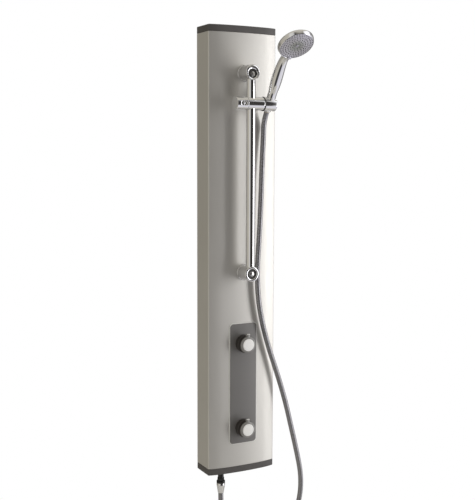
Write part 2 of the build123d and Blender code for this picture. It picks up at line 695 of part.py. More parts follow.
def makeOutlet():
    """The black outlet fitting through the bottom cap, its lock nut and its washer."""
    base = -halfHeight
    inside = base + capWall
    x = outletX
    y = -outletDepth
    top = base + capHeight + outletTopGap
    body = cylinderAlong("z", outletNeck, neckLow, top - slipGap, x=x, y=y)
    body += cylinderAlong("z", outletFlangeRadius, base - outletFlangeThick, base, x=x, y=y)
    body += hexAlongZ(collarFlats, collarLow, neckLow, x=x, y=y)
    body += cylinderAlong("z", threadRadius - pipeGap, hoseNutTop - threadEnd, collarLow, x=x, y=y)
    body -= cylinderAlong("z", outletBore, hoseNutTop - 2 * threadEnd, top - outletSocket, x=x, y=y)
    body -= cylinderAlong("z", pipeRadius + pipeGap, top - outletSocket, top + 1, x=x, y=y)
    parts["outlet_nipple"] = body
    nutBase = inside + outletWasherThick
    nut = hexAlongZ(lockNutFlats, nutBase, nutBase + lockNutThick, x=x, y=y)
    nut -= cylinderAlong("z", outletNeck + fitGap, inside, inside + 3 * lockNutThick, x=x, y=y)
    parts["outlet_lock_nut"] = nut
    parts["outlet_washer"] = ringAlong("z", outletWasherRadius, outletNeck + fitGap, inside, nutBase, x=x, y=y)
    parts["outlet_shroud"] = ringAlong("z", shroudRadius, threadRadius, hoseNutTop, collarLow, x=x, y=y)


def makeHose():
    """The hose with its two conical nuts, tails and washers."""
    x = outletX
    y = -outletDepth
    low = hoseNutTop - nutLength
    nut = cylinderAlong("z", hoseRadius + nutLip, low, hoseNutTop - nutCollar, x=x, y=y, topRadius=nutRadius)
    nut += cylinderAlong("z", nutRadius, hoseNutTop - nutCollar, hoseNutTop, x=x, y=y)
    nut -= cylinderAlong("z", threadRadius, hoseNutTop - nutBoreDepth, hoseNutTop + 1, x=x, y=y)
    nut -= cylinderAlong("z", hoseRadius + tailGap, low - 1, hoseNutTop, x=x, y=y)
    parts["lower_hose_nut"] = nut
    tail = ringAlong("z", hoseRadius, tailBore, low, hoseNutTop - nutBoreDepth, x=x, y=y)
    parts["lower_hose_tail"] = tail
    parts["lower_hose_washer"] = ringAlong("z", washerRadius, tailBore, hoseNutTop - nutBoreDepth,
                                           hoseNutTop - nutBoreDepth + washerThick, x=x, y=y)
    upper = Cone(coneLowRadius, coneHighRadius, 2 * coneHalfLength)
    upper += Pos(0, 0, coneHalfLength + upperCollar / 2) * Cylinder(coneHighRadius, upperCollar)
    upper -= Pos(0, 0, coneHalfLength) * Cylinder(threadRadius, 2 * upperThread)
    upper -= Cylinder(hoseRadius + tailGap, 4 * coneHalfLength)
    parts["upper_hose_nut"] = handleFrame * upper
    tailLength = hoseTopAlong + upperTailTop
    upperTail = Cylinder(hoseRadius, tailLength) - Cylinder(tailBore, 2 * tailLength)
    parts["upper_hose_tail"] = handleFrame * Pos(0, 0, upperTailTop - tailLength / 2) * upperTail
    upperWasher = Cylinder(washerRadius, washerThick) - Cylinder(tailBore, 2 * washerThick)
    parts["upper_hose_washer"] = handleFrame * Pos(0, 0, upperWasherAlong) * upperWasher
    start = Vector(x, y, low)
    end = (handleFrame * Pos(0, 0, -hoseTopAlong)).position
    last = (handleFrame * Pos(0, 0, -hoseTopAlong - hoseStraightTop)).position
    stretch = (last.Z - low) / (routeHigh - routeLow)
    route = [Vector(px, py, low + (pz - routeLow) * stretch) for px, py, pz in hoseRoute]
    points = [start] + route + [last, end]
    radii = []
    for before, here, after in zip(points, points[1:], points[2:]):
        turn = math.radians((here - before).get_angle(after - here))
        shorter = min((here - before).length, (after - here).length)
        radii.append(bendShare * shorter / math.tan(turn / 2))
    path = FilletPolyline(*points, radius=radii)
    tube = sweep(path.location_at(0) * Circle(hoseRadius), path)
    parts["shower_hose"] = tube
    print("hose length", round(path.length, 1))


tiltAngle = math.radians(holderTilt)
handleFrame = Plane(origin=(holderAxisX, railY, sliderZ), x_dir=(1, 0, 0),
                    z_dir=(0, -math.sin(tiltAngle), math.cos(tiltAngle))).location
headFrame = handleFrame * Pos(0, -headForward, headAlong) * Rot(90 + headBend, 0, 0)
cutLoft = handleLoft(handleWall, handleStart, 200)

makeHousing()
makeCap(1)
makeCap(-1)
makeWallBrackets()
makeRailPosts()
makeRail()
makeSlider()
makeHandset()
makeControlPlate()
makeKnob("temperature", tempKnobZ)
makeKnob("flow", flowKnobZ)
makeValves()
makeOutlet()
makeHose()

os.makedirs("parts", exist_ok=True)
for name, shape in parts.items():
    export_step(shape, "parts/" + name + ".step")
print(len(parts), "nodes")
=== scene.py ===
import json
import math

import bmesh
import bpy
import numpy as np
from mathutils import Matrix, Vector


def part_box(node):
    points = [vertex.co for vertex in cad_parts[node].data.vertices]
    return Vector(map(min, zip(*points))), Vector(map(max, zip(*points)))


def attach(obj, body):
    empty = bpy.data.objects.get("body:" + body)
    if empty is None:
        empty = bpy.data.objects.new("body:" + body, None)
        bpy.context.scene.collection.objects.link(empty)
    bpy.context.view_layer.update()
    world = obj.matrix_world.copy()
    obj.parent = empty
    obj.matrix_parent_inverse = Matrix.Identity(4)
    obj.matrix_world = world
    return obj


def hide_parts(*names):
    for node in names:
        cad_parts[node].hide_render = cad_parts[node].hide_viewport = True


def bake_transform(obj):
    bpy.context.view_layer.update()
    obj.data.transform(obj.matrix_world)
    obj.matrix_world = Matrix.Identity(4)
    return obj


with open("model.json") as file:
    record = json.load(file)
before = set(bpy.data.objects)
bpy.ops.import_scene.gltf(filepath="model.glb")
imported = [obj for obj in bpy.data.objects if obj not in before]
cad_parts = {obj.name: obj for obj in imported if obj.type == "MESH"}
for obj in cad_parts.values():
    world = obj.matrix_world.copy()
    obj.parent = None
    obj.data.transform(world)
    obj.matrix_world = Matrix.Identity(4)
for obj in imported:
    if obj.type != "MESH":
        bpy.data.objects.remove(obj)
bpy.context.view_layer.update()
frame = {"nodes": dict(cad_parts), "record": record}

mm = 0.001


def added(name, data):
    shown = bpy.data.objects.new(name, data)
    bpy.context.scene.collection.objects.link(shown)
    return shown


# ---------------------------------------------------------------- camera
cameraSetup = {
    "place": (-1.1496, -2.2418, 0.2619),  # metres
    "yaw": 27.61,        # degrees to the right of straight on
    "pitch": 5.85,       # degrees down
    "roll": 0.18,
    "lens": 66.21,
}


def makeCamera(setup):
    data = bpy.data.cameras.new("studioCamera")
    data.lens = setup["lens"]
    data.clip_start = 0.05
    data.clip_end = 60
    camera = added("studioCamera", data)
    turn = Matrix.Rotation(-math.radians(setup["yaw"]), 4, "Z")
    tilt = Matrix.Rotation(math.radians(90 - setup["pitch"]), 4, "X")
    roll = Matrix.Rotation(math.radians(setup["roll"]), 4, "Z")
    camera.matrix_world = Matrix.Translation(setup["place"]) @ turn @ tilt @ roll
    bpy.context.scene.camera = camera


makeCamera(cameraSetup)
print("camera in place")


# ---------------------------------------------------------------- mesh helpers
# A surface is (points, quads). It comes from a grid of points worked out at once for two parameters.
def gridSurface(points, loopRows=False, loopCols=False):
    rows, cols = points.shape[:2]
    ids = np.arange(rows * cols).reshape(rows, cols)
    if loopRows:
        ids = np.vstack([ids, ids[:1]])
    if loopCols:
        ids = np.hstack([ids, ids[:, :1]])
    quads = np.stack([ids[:-1, :-1], ids[1:, :-1], ids[1:, 1:], ids[:-1, 1:]], -1).reshape(-1, 4)
    return points.reshape(-1, 3), quads


def joined(surfaces):
    points = np.vstack([s[0] for s in surfaces])
    starts = np.cumsum([0] + [len(s[0]) for s in surfaces[:-1]])
    quads = np.vstack([s[1] + start for s, start in zip(surfaces, starts)])
    return points, quads


# Corner k of a profile is (along, across, round). The round is a parabola arc between the points that lie
# round mm from the corner on its two sides: (1-t)^2 a + 2t(1-t) corner + t^2 b.
def softProfile(corners, steps=5):
    corner = np.array([c[:2] for c in corners], float)
    size = np.array([c[2] if len(c) > 2 else 0.0 for c in corners])
    t = np.linspace(0, 1, steps + 1)[:, None]
    pieces = []
    for k, centre in enumerate(corner):
        if size[k] == 0:
            pieces.append(centre[None])
            continue
        back = corner[k - 1] - centre
        ahead = corner[(k + 1) % len(corner)] - centre
        a = centre + back / np.linalg.norm(back) * size[k]
        b = centre + ahead / np.linalg.norm(ahead) * size[k]
        pieces.append((1 - t) ** 2 * a + 2 * t * (1 - t) * centre + t ** 2 * b)
    return np.vstack(pieces)


# A soft profile that comes back to its first point, for rings and sleeves
def loopProfile(corners, steps=5):
    line = softProfile(corners, steps)
    return np.vstack([line, line[:1]])


# A place is (origin, rows of x, y and z directions). A point (a, b, c) goes to origin + a x + b y + c z.
def placed(surface, place):
    origin, basis = place
    return surface[0] @ np.array(basis, float) + np.array(origin, float), surface[1]


# Turned part: point(s, turn) = (radius(s) cos turn, radius(s) sin turn, along(s))
def turned(profile, place, count=72):
    turn = np.linspace(0, 2 * math.pi, count, endpoint=False)
    along = profile[:, 0][:, None] + 0 * turn
    radius = profile[:, 1][:, None]
    points = np.stack([radius * np.cos(turn), radius * np.sin(turn), along], -1)
    return placed(gridSurface(points, loopCols=True), place)


# Rings round a level axis: point(k, a) = (x(k), y - radius(k) cos a, z + radius(k) sin a)
def levelRings(profile, a, axis):
    return np.array([np.stack([a * 0 + x, axis[1] - r * np.cos(a), axis[2] + r * np.sin(a)], -1) for x, r in profile])


def meshFrom(name, surface, sharp=32.0):
    points, quads = surface
    mesh = bpy.data.meshes.new(name)
    mesh.vertices.add(len(points))
    mesh.vertices.foreach_set("co", (np.asarray(points, float) * mm).ravel())
    mesh.loops.add(quads.size)
    mesh.loops.foreach_set("vertex_index", quads.ravel().astype(np.int32))
    mesh.polygons.add(len(quads))
    mesh.polygons.foreach_set("loop_start", np.arange(0, quads.size, 4, dtype=np.int32))
    mesh.update(calc_edges=True)
    tidyMesh(mesh, sharp)
    return mesh


# Seams and poles are closed, faces turned outwards, and edges sharper than the angle kept crisp.
def tidyMesh(mesh, sharp=32.0):
    work = bmesh.new()
    work.from_mesh(mesh)
    bmesh.ops.remove_doubles(work, verts=work.verts, dist=2e-6)
    bmesh.ops.dissolve_degenerate(work, edges=work.edges, dist=1e-6)
    bmesh.ops.recalc_face_normals(work, faces=work.faces)
    work.to_mesh(mesh)
    work.free()
    mesh.validate()
    mesh.shade_smooth()
    mesh.set_sharp_from_angle(angle=math.radians(sharp))


def piece(name, surface, material, body, nodes=(), sharp=32.0, cut=()):
    shown = added(name, meshFrom(name, surface, sharp))
    if cut:
        carve(shown, cut, sharp)
    shown.data.materials.append(material)
    if body:
        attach(shown, body)
    if nodes:
        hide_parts(*nodes)
    return shown


# Cuts closed surfaces out of a piece.
def carve(shown, cutters, sharp):
    for cutter in cutters:
        tool = added("cutter", meshFrom("cutter", cutter))
        step = shown.modifiers.new("carve", "BOOLEAN")
        step.operation = "DIFFERENCE"
        step.solver = "EXACT"
        step.object = tool
        bpy.context.view_layer.update()
        graph = bpy.context.evaluated_depsgraph_get()
        carved = bpy.data.meshes.new_from_object(shown.evaluated_get(graph))
        shown.modifiers.remove(step)
        shown.data = carved
        bpy.data.objects.remove(tool)
    shown.data.shade_smooth()
    shown.data.set_sharp_from_angle(angle=math.radians(sharp))


slotOf = {part["node"]: part["material_slot"] for part in frame["record"]["subparts"]}


# Lowest and highest corner, middle and size of a CAD node, in mm
def nodeBox(name):
    low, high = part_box(name)
    low = np.array(low) / mm
    high = np.array(high) / mm
    return low, high, (low + high) / 2, high - low


tilt = math.radians(32.5)  # how far the handset leans forward
holderReach = 54.0         # from the rail's axis to the handset's
alongX = [[0, 1, 0], [0, 0, 1], [1, 0, 0]]     # turned parts whose axis runs along X
alongFront = [[1, 0, 0], [0, 0, 1], [0, -1, 0]]  # axis out of the panel's front
alongUp = [[1, 0, 0], [0, 1, 0], [0, 0, 1]]
handleBasis = np.array([[1, 0, 0], [0, math.cos(tilt), math.sin(tilt)], [0, -math.sin(tilt), math.cos(tilt)]])
railMiddle, railSize = nodeBox("rail_tube")[2:]
holderLow, _, holderMiddle, holderSize = nodeBox("handset_holder")
sliderLow, sliderHigh, sliderMiddle, sliderSize = nodeBox("slider_body")
pivot = np.array([holderReach, railMiddle[1], sliderMiddle[2]])
handlePlace = (pivot, handleBasis)
headSet = {"along": 187.8, "forward": 43.0, "bend": 21.7, "radius": 47.0, "rim": 9.7, "depth": 24.0, "face": 43.4}
headTurn = math.radians(90 + headSet["bend"])
headBasis = np.array([[1, 0, 0],
                      [0, math.cos(headTurn), math.sin(headTurn)],
                      [0, -math.sin(headTurn), math.cos(headTurn)]]) @ handleBasis
headOrigin = np.array([0, -headSet["forward"], headSet["along"]]) @ handleBasis + pivot
headPlace = (headOrigin, headBasis)


# ---------------------------------------------------------------- materials
def shaderFor(name):
    material = bpy.data.materials.new(name)
    material.use_nodes = True
    tree = material.node_tree
    return material, tree, tree.nodes["Principled BSDF"]


def noiseOn(tree, scale, stretch=(1, 1, 1), detail=4.0, roughness=0.5):
    place = tree.nodes.new("ShaderNodeTexCoord")
    mapping = tree.nodes.new("ShaderNodeMapping")
    mapping.inputs["Scale"].default_value = stretch
    noise = tree.nodes.new("ShaderNodeTexNoise")
    noise.inputs["Scale"].default_value = scale
    noise.inputs["Detail"].default_value = detail
    noise.inputs["Roughness"].default_value = roughness
    tree.links.new(place.outputs["Object"], mapping.inputs["Vector"])
    tree.links.new(mapping.outputs["Vector"], noise.inputs["Vector"])
    return noise


def rangeOf(tree, source, low, high, fromLow=0.3, fromHigh=0.7):
    spread = tree.nodes.new("ShaderNodeMapRange")
    spread.inputs["From Min"].default_value = fromLow
    spread.inputs["From Max"].default_value = fromHigh
    spread.inputs["To Min"].default_value = low
    spread.inputs["To Max"].default_value = high
    tree.links.new(source, spread.inputs["Value"])
    return spread.outputs["Result"]


def rampOf(tree, source, stops):
    ramp = tree.nodes.new("ShaderNodeValToRGB")
    while len(ramp.color_ramp.elements) < len(stops):
        ramp.color_ramp.elements.new(0.5)
    for element, (place, colour) in zip(ramp.color_ramp.elements, stops):
        element.position = place
        element.color = (*colour, 1)
    tree.links.new(source, ramp.inputs["Fac"])
    return ramp.outputs["Color"]


# A Math node whose second value is another socket or a number
def mathOn(tree, operation, first, second=None):
    step = tree.nodes.new("ShaderNodeMath")
    step.operation = operation
    tree.links.new(first, step.inputs[0])
    if isinstance(second, bpy.types.NodeSocket):
        tree.links.new(second, step.inputs[1])
    elif second is not None:
        step.inputs[1].default_value = second
    return step.outputs["Value"]


def bumpOf(tree, shader, height, strength, distance=0.0005):
    bump = tree.nodes.new("ShaderNodeBump")
    bump.inputs["Strength"].default_value = strength
    bump.inputs["Distance"].default_value = distance
    tree.links.new(height, bump.inputs["Height"])
    tree.links.new(bump.outputs["Normal"], shader.inputs["Normal"])


# One recipe for metals and plastics: colour wanders between two tones, roughness between two values,
# and a fine grain of the given scale and stretch lifts the surface a little.
def finish(name, dark, light, rough, metallic, grain, grainStretch=(1, 1, 1), bump=0.05, patches=18.0, coat=0.0,
           distance=0.0002, specular=0.5):
    material, tree, shader = shaderFor(name)
    patch = noiseOn(tree, patches, detail=3.0)
    tree.links.new(rampOf(tree, patch.outputs["Fac"], [(0.3, dark), (0.7, light)]), shader.inputs["Base Color"])
    fine = noiseOn(tree, grain, grainStretch, detail=5.0, roughness=0.6)
    tree.links.new(rangeOf(tree, fine.outputs["Fac"], rough[0], rough[1]), shader.inputs["Roughness"])
    bumpOf(tree, shader, fine.outputs["Fac"], bump, distance)
    shader.inputs["Metallic"].default_value = metallic
    shader.inputs["Coat Weight"].default_value = coat
    shader.inputs["Coat Roughness"].default_value = 0.08
    shader.inputs["Specular IOR Level"].default_value = specular
    return material


finishes = {
    "satinHousing": finish("satinHousing", (0.66, 0.645, 0.615), (0.71, 0.695, 0.665), (0.40, 0.50), 0.62, 900.0,
                           (1, 1, 0.02), 0.05, 3.0),
    "endCap": finish("endCap", (0.080, 0.075, 0.073), (0.100, 0.094, 0.092), (0.42, 0.55), 0.0, 2600.0, bump=0.25),
    "zincSteel": finish("zincSteel", (0.50, 0.51, 0.53), (0.66, 0.66, 0.64), (0.30, 0.50), 1.0, 500.0,
                        (1, 0.06, 1), 0.10, 60.0),
    "chrome": finish("chrome", (0.80, 0.80, 0.81), (0.86, 0.86, 0.87), (0.035, 0.085), 1.0, 1400.0, bump=0.012),
    "chromedPlastic": finish("chromedPlastic", (0.79, 0.79, 0.80), (0.85, 0.85, 0.86), (0.04, 0.10), 1.0, 900.0,
                             bump=0.015),
    "stainless": finish("stainless", (0.52, 0.51, 0.50), (0.66, 0.65, 0.63), (0.22, 0.38), 1.0, 800.0, bump=0.08),
    "darkInsert": finish("darkInsert", (0.035, 0.033, 0.032), (0.06, 0.057, 0.055), (0.35, 0.55), 0.0, 1800.0, bump=0.2),
    "darkRing": finish("darkRing", (0.012, 0.012, 0.012), (0.022, 0.022, 0.022), (0.5, 0.7), 0.0, 1500.0, bump=0.3),
    "nylon": finish("nylon", (0.62, 0.61, 0.57), (0.74, 0.73, 0.69), (0.40, 0.55), 0.0, 900.0, bump=0.12),
    "controlPlate": finish("controlPlate", (0.20, 0.194, 0.192), (0.222, 0.216, 0.213), (0.34, 0.44), 0.3, 1600.0,
                           (1, 1, 0.1), 0.05, 5.0),
    # near-white finish for thin strips that paint in edge highlights on the control plate and the knob tabs
    "paintedHighlightBead": finish("paintedHighlightBead", (0.80, 0.80, 0.78), (0.88, 0.88, 0.86), (0.35, 0.5), 0.1, 900.0, bump=0.05),
    "foam": finish("foam", (0.02, 0.02, 0.02), (0.05, 0.05, 0.05), (0.8, 0.95), 0.0, 700.0, bump=0.8),
    "knobDark": finish("knobDark", (0.030, 0.026, 0.024), (0.045, 0.040, 0.037), (0.28, 0.42), 0.0, 1500.0, bump=0.12),
    "knobGrey": finish("knobGrey", (0.25, 0.245, 0.24), (0.31, 0.305, 0.30), (0.28, 0.40), 0.35, 1500.0, bump=0.08),
    "knobDisc": finish("knobDisc", (0.95, 0.95, 0.95), (0.99, 0.99, 0.98), (0.25, 0.40), 0.0, 420.0, bump=0.10,
                       patches=260.0),
    "brass": finish("brass", (0.56, 0.40, 0.18), (0.72, 0.54, 0.27), (0.25, 0.42), 1.0, 600.0, bump=0.10, patches=45.0),
    "sprayFace": finish("sprayFace", (0.36, 0.35, 0.39), (0.43, 0.42, 0.46), (0.26, 0.36), 0.6, 1400.0, bump=0.05),
    "nozzleRubber": finish("nozzleRubber", (0.16, 0.16, 0.18), (0.24, 0.24, 0.26), (0.45, 0.6), 0.0, 2000.0, bump=0.1),
    "blackFitting": finish("blackFitting", (0.010, 0.010, 0.010), (0.020, 0.019, 0.019), (0.25, 0.45), 0.0, 1500.0,
                           bump=0.2),
    "washerRubber": finish("washerRubber", (0.02, 0.02, 0.02), (0.04, 0.04, 0.04), (0.6, 0.8), 0.0, 900.0, bump=0.3),
}

# The slot of each CAD node gives its finish.
finishOfSlot = {
    "satin_aluminium": "satinHousing", "cap_plastic": "endCap", "steel_sheet": "zincSteel",
    "chromed_brass": "chrome", "chromed_plastic": "chromedPlastic", "stainless": "stainless",
    "dark_insert": "darkInsert", "dark_ring": "darkRing", "nylon": "nylon", "dark_plate": "controlPlate",
    "foam": "foam", "knob_dark": "knobDark", "knob_grey": "knobGrey", "brass_part": "brass",
    "spray_plastic": "sprayFace", "nozzle_rubber": "nozzleRubber", "black_fitting": "blackFitting",
    "washer_rubber": "washerRubber", "hose_skin": "nylon",
}
for node, shape in frame["nodes"].items():
    shape.data.materials.clear()
    shape.data.materials.append(finishes[finishOfSlot[slotOf[node]]])
print("materials ready:", len(finishes))


# ---------------------------------------------------------------- hose
hoseSetup = {
    "radius": 7.0,
    "pitch": 3.2,        # one turn of the spiral
    "relief": 0.16,      # how far the spiral stands up
    "around": 28,
    "rowsPerTurn": 4,
    "route": [
        (-47.8, -40, -664), (-47.8, -40, -694), (-46, -43, -733), (-29, -48, -778), (16, -54, -810),
        (76, -60, -822), (135, -66, -804), (175, -71, -756), (189, -75, -696), (187, -79, -636),
        (171, -82, -570), (150, -85, -494), (128, -87.5, -414), (101, -90, -336), (73, -91, -262),
        (50, -92, -186), (37, -92.5, -116), (33.8, -93, -42), (38.5, -93.5, 30), (42, -94.5, 106),
        (44, -95.5, 180), (47, -94, 250), (51.5, -91.5, 312), (54, -87.99, 351.46), (54, -105.18, 378.45),
    ],
    "sliderCut": 200.0,  # height where the hose's run stretch ends and its rise stretch begins
    "topCut": 90.0,      # length of the last stretch
}


def hoseMaterial():
    material, tree, shader = shaderFor("hoseSkin")
    pattern = tree.nodes.new("ShaderNodeUVMap")
    pattern.uv_map = "alongHose"
    split = tree.nodes.new("ShaderNodeSeparateXYZ")
    tree.links.new(pattern.outputs["UV"], split.inputs["Vector"])
    turns = mathOn(tree, "FRACT", mathOn(tree, "ADD", split.outputs["X"], split.outputs["Y"]))
    band = rampOf(tree, turns, [(0.0, (0.30, 0.295, 0.31)), (0.38, (0.36, 0.355, 0.37)),
                                (0.55, (0.23, 0.225, 0.24)), (0.95, (0.29, 0.285, 0.30))])
    tree.links.new(band, shader.inputs["Base Color"])
    fine = noiseOn(tree, 700.0)
    tree.links.new(rangeOf(tree, fine.outputs["Fac"], 0.22, 0.34), shader.inputs["Roughness"])
    bumpOf(tree, shader, fine.outputs["Fac"], 0.05, 0.0001)
    shader.inputs["Metallic"].default_value = 0.7
    shader.inputs["Coat Weight"].default_value = 0.35
    shader.inputs["Coat Roughness"].default_value = 0.12
    return material


def splineLine(route):
    curve = bpy.data.curves.new("hoseRoute", "CURVE")
    curve.dimensions = "3D"
    curve.resolution_u = 24
    spline = curve.splines.new("NURBS")
    spline.points.add(len(route) - 1)
    spline.points.foreach_set("co", np.hstack([np.array(route) * mm, np.ones((len(route), 1))]).ravel())
    spline.order_u = 3
    spline.use_endpoint_u = True
    holder = added("hoseRoute", curve)
    bpy.context.view_layer.update()
    line = bpy.data.meshes.new_from_object(holder.evaluated_get(bpy.context.evaluated_depsgraph_get()))
    points = np.zeros(len(line.vertices) * 3)
    line.vertices.foreach_get("co", points)
    bpy.data.objects.remove(holder)
    return points.reshape(-1, 3) / mm


# Tube: point(s, turn) = line(s) + r(s, turn) (cos turn side(s) + sin turn other(s)), with
# r = radius + relief cos(2 pi s / pitch + turn), so that the ridge winds round once for each pitch.
def hoseStretch(name, line, distance, low, high, setup, material):
    rows = int((high - low) / setup["pitch"] * setup["rowsPerTurn"]) + 2
    s = np.linspace(low, high, rows)
    centre = np.stack([np.interp(s, distance, line[:, k]) for k in range(3)], -1)
    ahead = np.gradient(centre, axis=0)
    ahead /= np.linalg.norm(ahead, axis=1, keepdims=True)
    side = np.cross(ahead, [0.0, 1.0, 0.0])
    side /= np.linalg.norm(side, axis=1, keepdims=True)
    other = np.cross(side, ahead)
    turn = np.linspace(0, 2 * math.pi, setup["around"] + 1)
    r = setup["radius"] + setup["relief"] * np.cos(2 * math.pi * s[:, None] / setup["pitch"] + turn)
    ring = np.cos(turn)[None, :, None] * side[:, None] + np.sin(turn)[None, :, None] * other[:, None]
    points = centre[:, None] + r[..., None] * ring
    quads = gridSurface(points)[1]
    mesh = bpy.data.meshes.new(name)
    mesh.from_pydata((points.reshape(-1, 3) * mm).tolist(), [], quads.tolist())
    uv = np.stack(np.broadcast_arrays(s[:, None] / setup["pitch"], turn[None] / (2 * math.pi)), -1).reshape(-1, 2)
    layer = mesh.uv_layers.new(name="alongHose")
    layer.data.foreach_set("uv", uv[quads.ravel()].ravel())
    work = bmesh.new()
    work.from_mesh(mesh)
    bmesh.ops.remove_doubles(work, verts=work.verts, dist=2e-6)
    rims = [e for e in work.edges if e.is_boundary]
    bmesh.ops.holes_fill(work, edges=rims, sides=0)
    bmesh.ops.recalc_face_normals(work, faces=work.faces)
    work.to_mesh(mesh)
    work.free()
    mesh.shade_smooth()
    mesh.set_sharp_from_angle(angle=math.radians(50))
    shown = added(name, mesh)
    mesh.materials.append(material)
    keep = np.linspace(low, high, max(12, int((high - low) / 6)))
    path = np.stack([np.interp(keep, distance, line[:, k]) for k in range(3)], -1) * mm
    return shown, path, high - low


def makeHose(setup):
    line = splineLine(setup["route"])
    distance = np.concatenate([[0], np.cumsum(np.linalg.norm(np.diff(line, axis=0), axis=1))])
    total = distance[-1]
    skin = hoseMaterial()
    loopEnd = distance[np.argmin(line[:, 2])]
    rising = (distance > loopEnd) & (line[:, 2] < setup["sliderCut"])
    riseEnd = distance[rising][-1]
    topStart = total - setup["topCut"]
    stretches = [
        ("hoseLoop", 0.0, loopEnd), ("hoseRun", loopEnd, riseEnd),
        ("hoseRise", riseEnd, topStart), ("hoseTop", topStart, total),
    ]
    made = {}
    for name, low, high in stretches:
        made[name] = hoseStretch(name, line, distance, low, high, setup, skin)
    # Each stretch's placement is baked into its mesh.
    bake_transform(made["hoseLoop"][0])
    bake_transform(made["hoseRun"][0])
    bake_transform(made["hoseRise"][0])
    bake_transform(made["hoseTop"][0])
    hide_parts("shower_hose")
    print("hose:", round(total), "mm in", len(made), "stretches")


makeHose(hoseSetup)


# ---------------------------------------------------------------- housing and caps
housing = {"halfWidth": 100.0, "radius": 700.0, "middle": 62.0, "side": 69.0, "bow": 10.0, "wall": 2.0, "lip": 14.0,
           "corner": 2.8, "edge": 0.7, "around": 90,
           "capJoint": 582.0, "capDepth": 18.0, "capMiddle": -35.0, "skirtLong": 12.0}


# Depth of the front at x: the middle is an arc of the large radius, and outside it a tangent arc runs on
# to the corner.
def frontDepth(x, setup=housing):
    x = np.abs(np.asarray(x, float))
    front = setup["side"] + setup["bow"]
    drop = math.sqrt(setup["radius"] ** 2 - setup["middle"] ** 2)
    start = np.array([setup["middle"], -front + setup["radius"] - drop])
    slope = math.asin(setup["middle"] / setup["radius"])
    chord = np.array([setup["halfWidth"], -setup["side"]]) - start
    turn = math.atan2(chord[1], chord[0]) - slope
    radius = np.linalg.norm(chord) / (2 * math.sin(turn))
    centre = start + radius * np.array([-math.sin(slope), math.cos(slope)])
    middle = -front + setup["radius"] - np.sqrt(setup["radius"] ** 2 - np.minimum(x, setup["middle"]) ** 2)
    outside = centre[1] - np.sqrt(np.maximum(radius ** 2 - (x - centre[0]) ** 2, 0))
    return np.where(x <= setup["middle"], middle, outside)


# Half outline and its mirror: from the back edge at (half width - inset, back) round the corner and along the front.
def channelLine(inset, back, setup=housing):
    side = setup["halfWidth"] - inset
    t = np.linspace(0, 1, 9)[:, None]
    bend = max(setup["corner"] - inset * 0.55, 0.6)
    x = np.linspace(side - bend, 0, setup["around"])
    front = np.stack([x, frontDepth(x) + inset], -1)
    corner = np.array([side, frontDepth(side) + inset])
    above = corner + [0, bend]
    arc = (1 - t) ** 2 * above + 2 * t * (1 - t) * corner + t ** 2 * front[0]
    half = np.vstack([[[side, back]], arc[:-1], front])
    return np.vstack([half, half[-2::-1] * [-1, 1]])


def ringAt(line, z):
    return np.concatenate([line, np.full((len(line), 1), z)], -1)


# Extruded channel: outer(s, z), inner(s, z) and the strips between their edges.
def channelWall(outerInset, innerInset, back, low, high, edge):
    outer = channelLine(outerInset, back)
    inner = channelLine(innerInset, back)
    eased = channelLine(outerInset + edge, back)
    levels = [ringAt(eased, low), ringAt(outer, low + edge), ringAt(outer, high - edge), ringAt(eased, high),
              ringAt(inner, high), ringAt(inner, low)]
    tube = gridSurface(np.array(levels), loopRows=True)
    ends = []
    for k in (0, -1):
        corner = np.array([level[k] for level in levels])
        ends.append(gridSurface(np.array([corner[[0, 1, 2, 3]], corner[[5, 5, 4, 4]]])))
    return joined([tube] + ends)


def makeHousing():
    low, high = nodeBox("housing_profile")[:2]
    shell = channelWall(0.0, housing["wall"], 0.0, low[2], high[2], housing["edge"])
    lips = []
    outer = housing["halfWidth"] - housing["wall"] - 0.2
    inner = housing["halfWidth"] - housing["lip"]
    for side in (-1, 1):
        section = np.array([[outer, 0.0], [inner + 0.4, 0.0], [inner, -0.4], [inner, -1.6], [inner + 0.4, -2.0],
                            [outer, -2.0]]) * [side, 1]
        middle = section * [0, 0] + section.mean(0)
        rings = np.array([ringAt(middle, low[2]), ringAt(section, low[2]), ringAt(section, high[2]),
                          ringAt(middle, high[2])])
        lips.append(gridSurface(rings, loopCols=True))
    piece("housingShell", joined([shell] + lips), finishes["satinHousing"], "panel", ["housing_profile"], 28)
    print("housing done")


# Cap: the closed channel line at each (inset, height), drawn in to a small loop at the middle of both faces,
# and a skirt that reaches into the housing.
def makeCap(name, node, sign):
    joint = housing["capJoint"] * sign
    depth = housing["capDepth"]
    shrink = [0.02, 0.1, 1]
    middle = [0, housing["capMiddle"], 0]
    levels = [(3.0, 0.35), (0.35, 0.35), (0.0, 0.7), (0.0, depth - 2.2), (0.25, depth - 1.1), (0.9, depth - 0.35),
              (2.2, depth)]
    rings = [ringAt(channelLine(inset, -inset), joint + sign * height) for inset, height in levels]
    top = rings[-1] * shrink + middle
    under = ringAt(channelLine(3.0, -3.0), joint + sign * (depth - 3.0))
    floor = under * shrink + middle
    grid = np.array([floor, under] + rings + [top])
    shell = gridSurface(grid, loopCols=True)
    centre = [0, housing["capMiddle"] - 3.0, 0]
    middles = [gridSurface(np.array([edge, edge * [0, 0, 1] + centre]), loopCols=True) for edge in (floor, top)]
    reach = sorted([joint - sign * housing["skirtLong"], joint + sign * 0.3])
    skirt = channelWall(2.3, 4.3, -8.0, reach[0], reach[1], 0.3)
    piece(name, joined([shell] + middles + [skirt]), finishes["endCap"], "panel", [node], 30)


makeHousing()
makeCap("topCap", "top_end_cap", 1)
makeCap("bottomCap", "bottom_end_cap", -1)


# ---------------------------------------------------------------- rail and posts
postSet = {"rootDepth": 85.0, "base": 21.0, "tip": 20.1, "length": 44.0, "recess": 13.2, "recessDepth": 4.6,
           "bulge": 2.4, "recessDrop": 4.2}


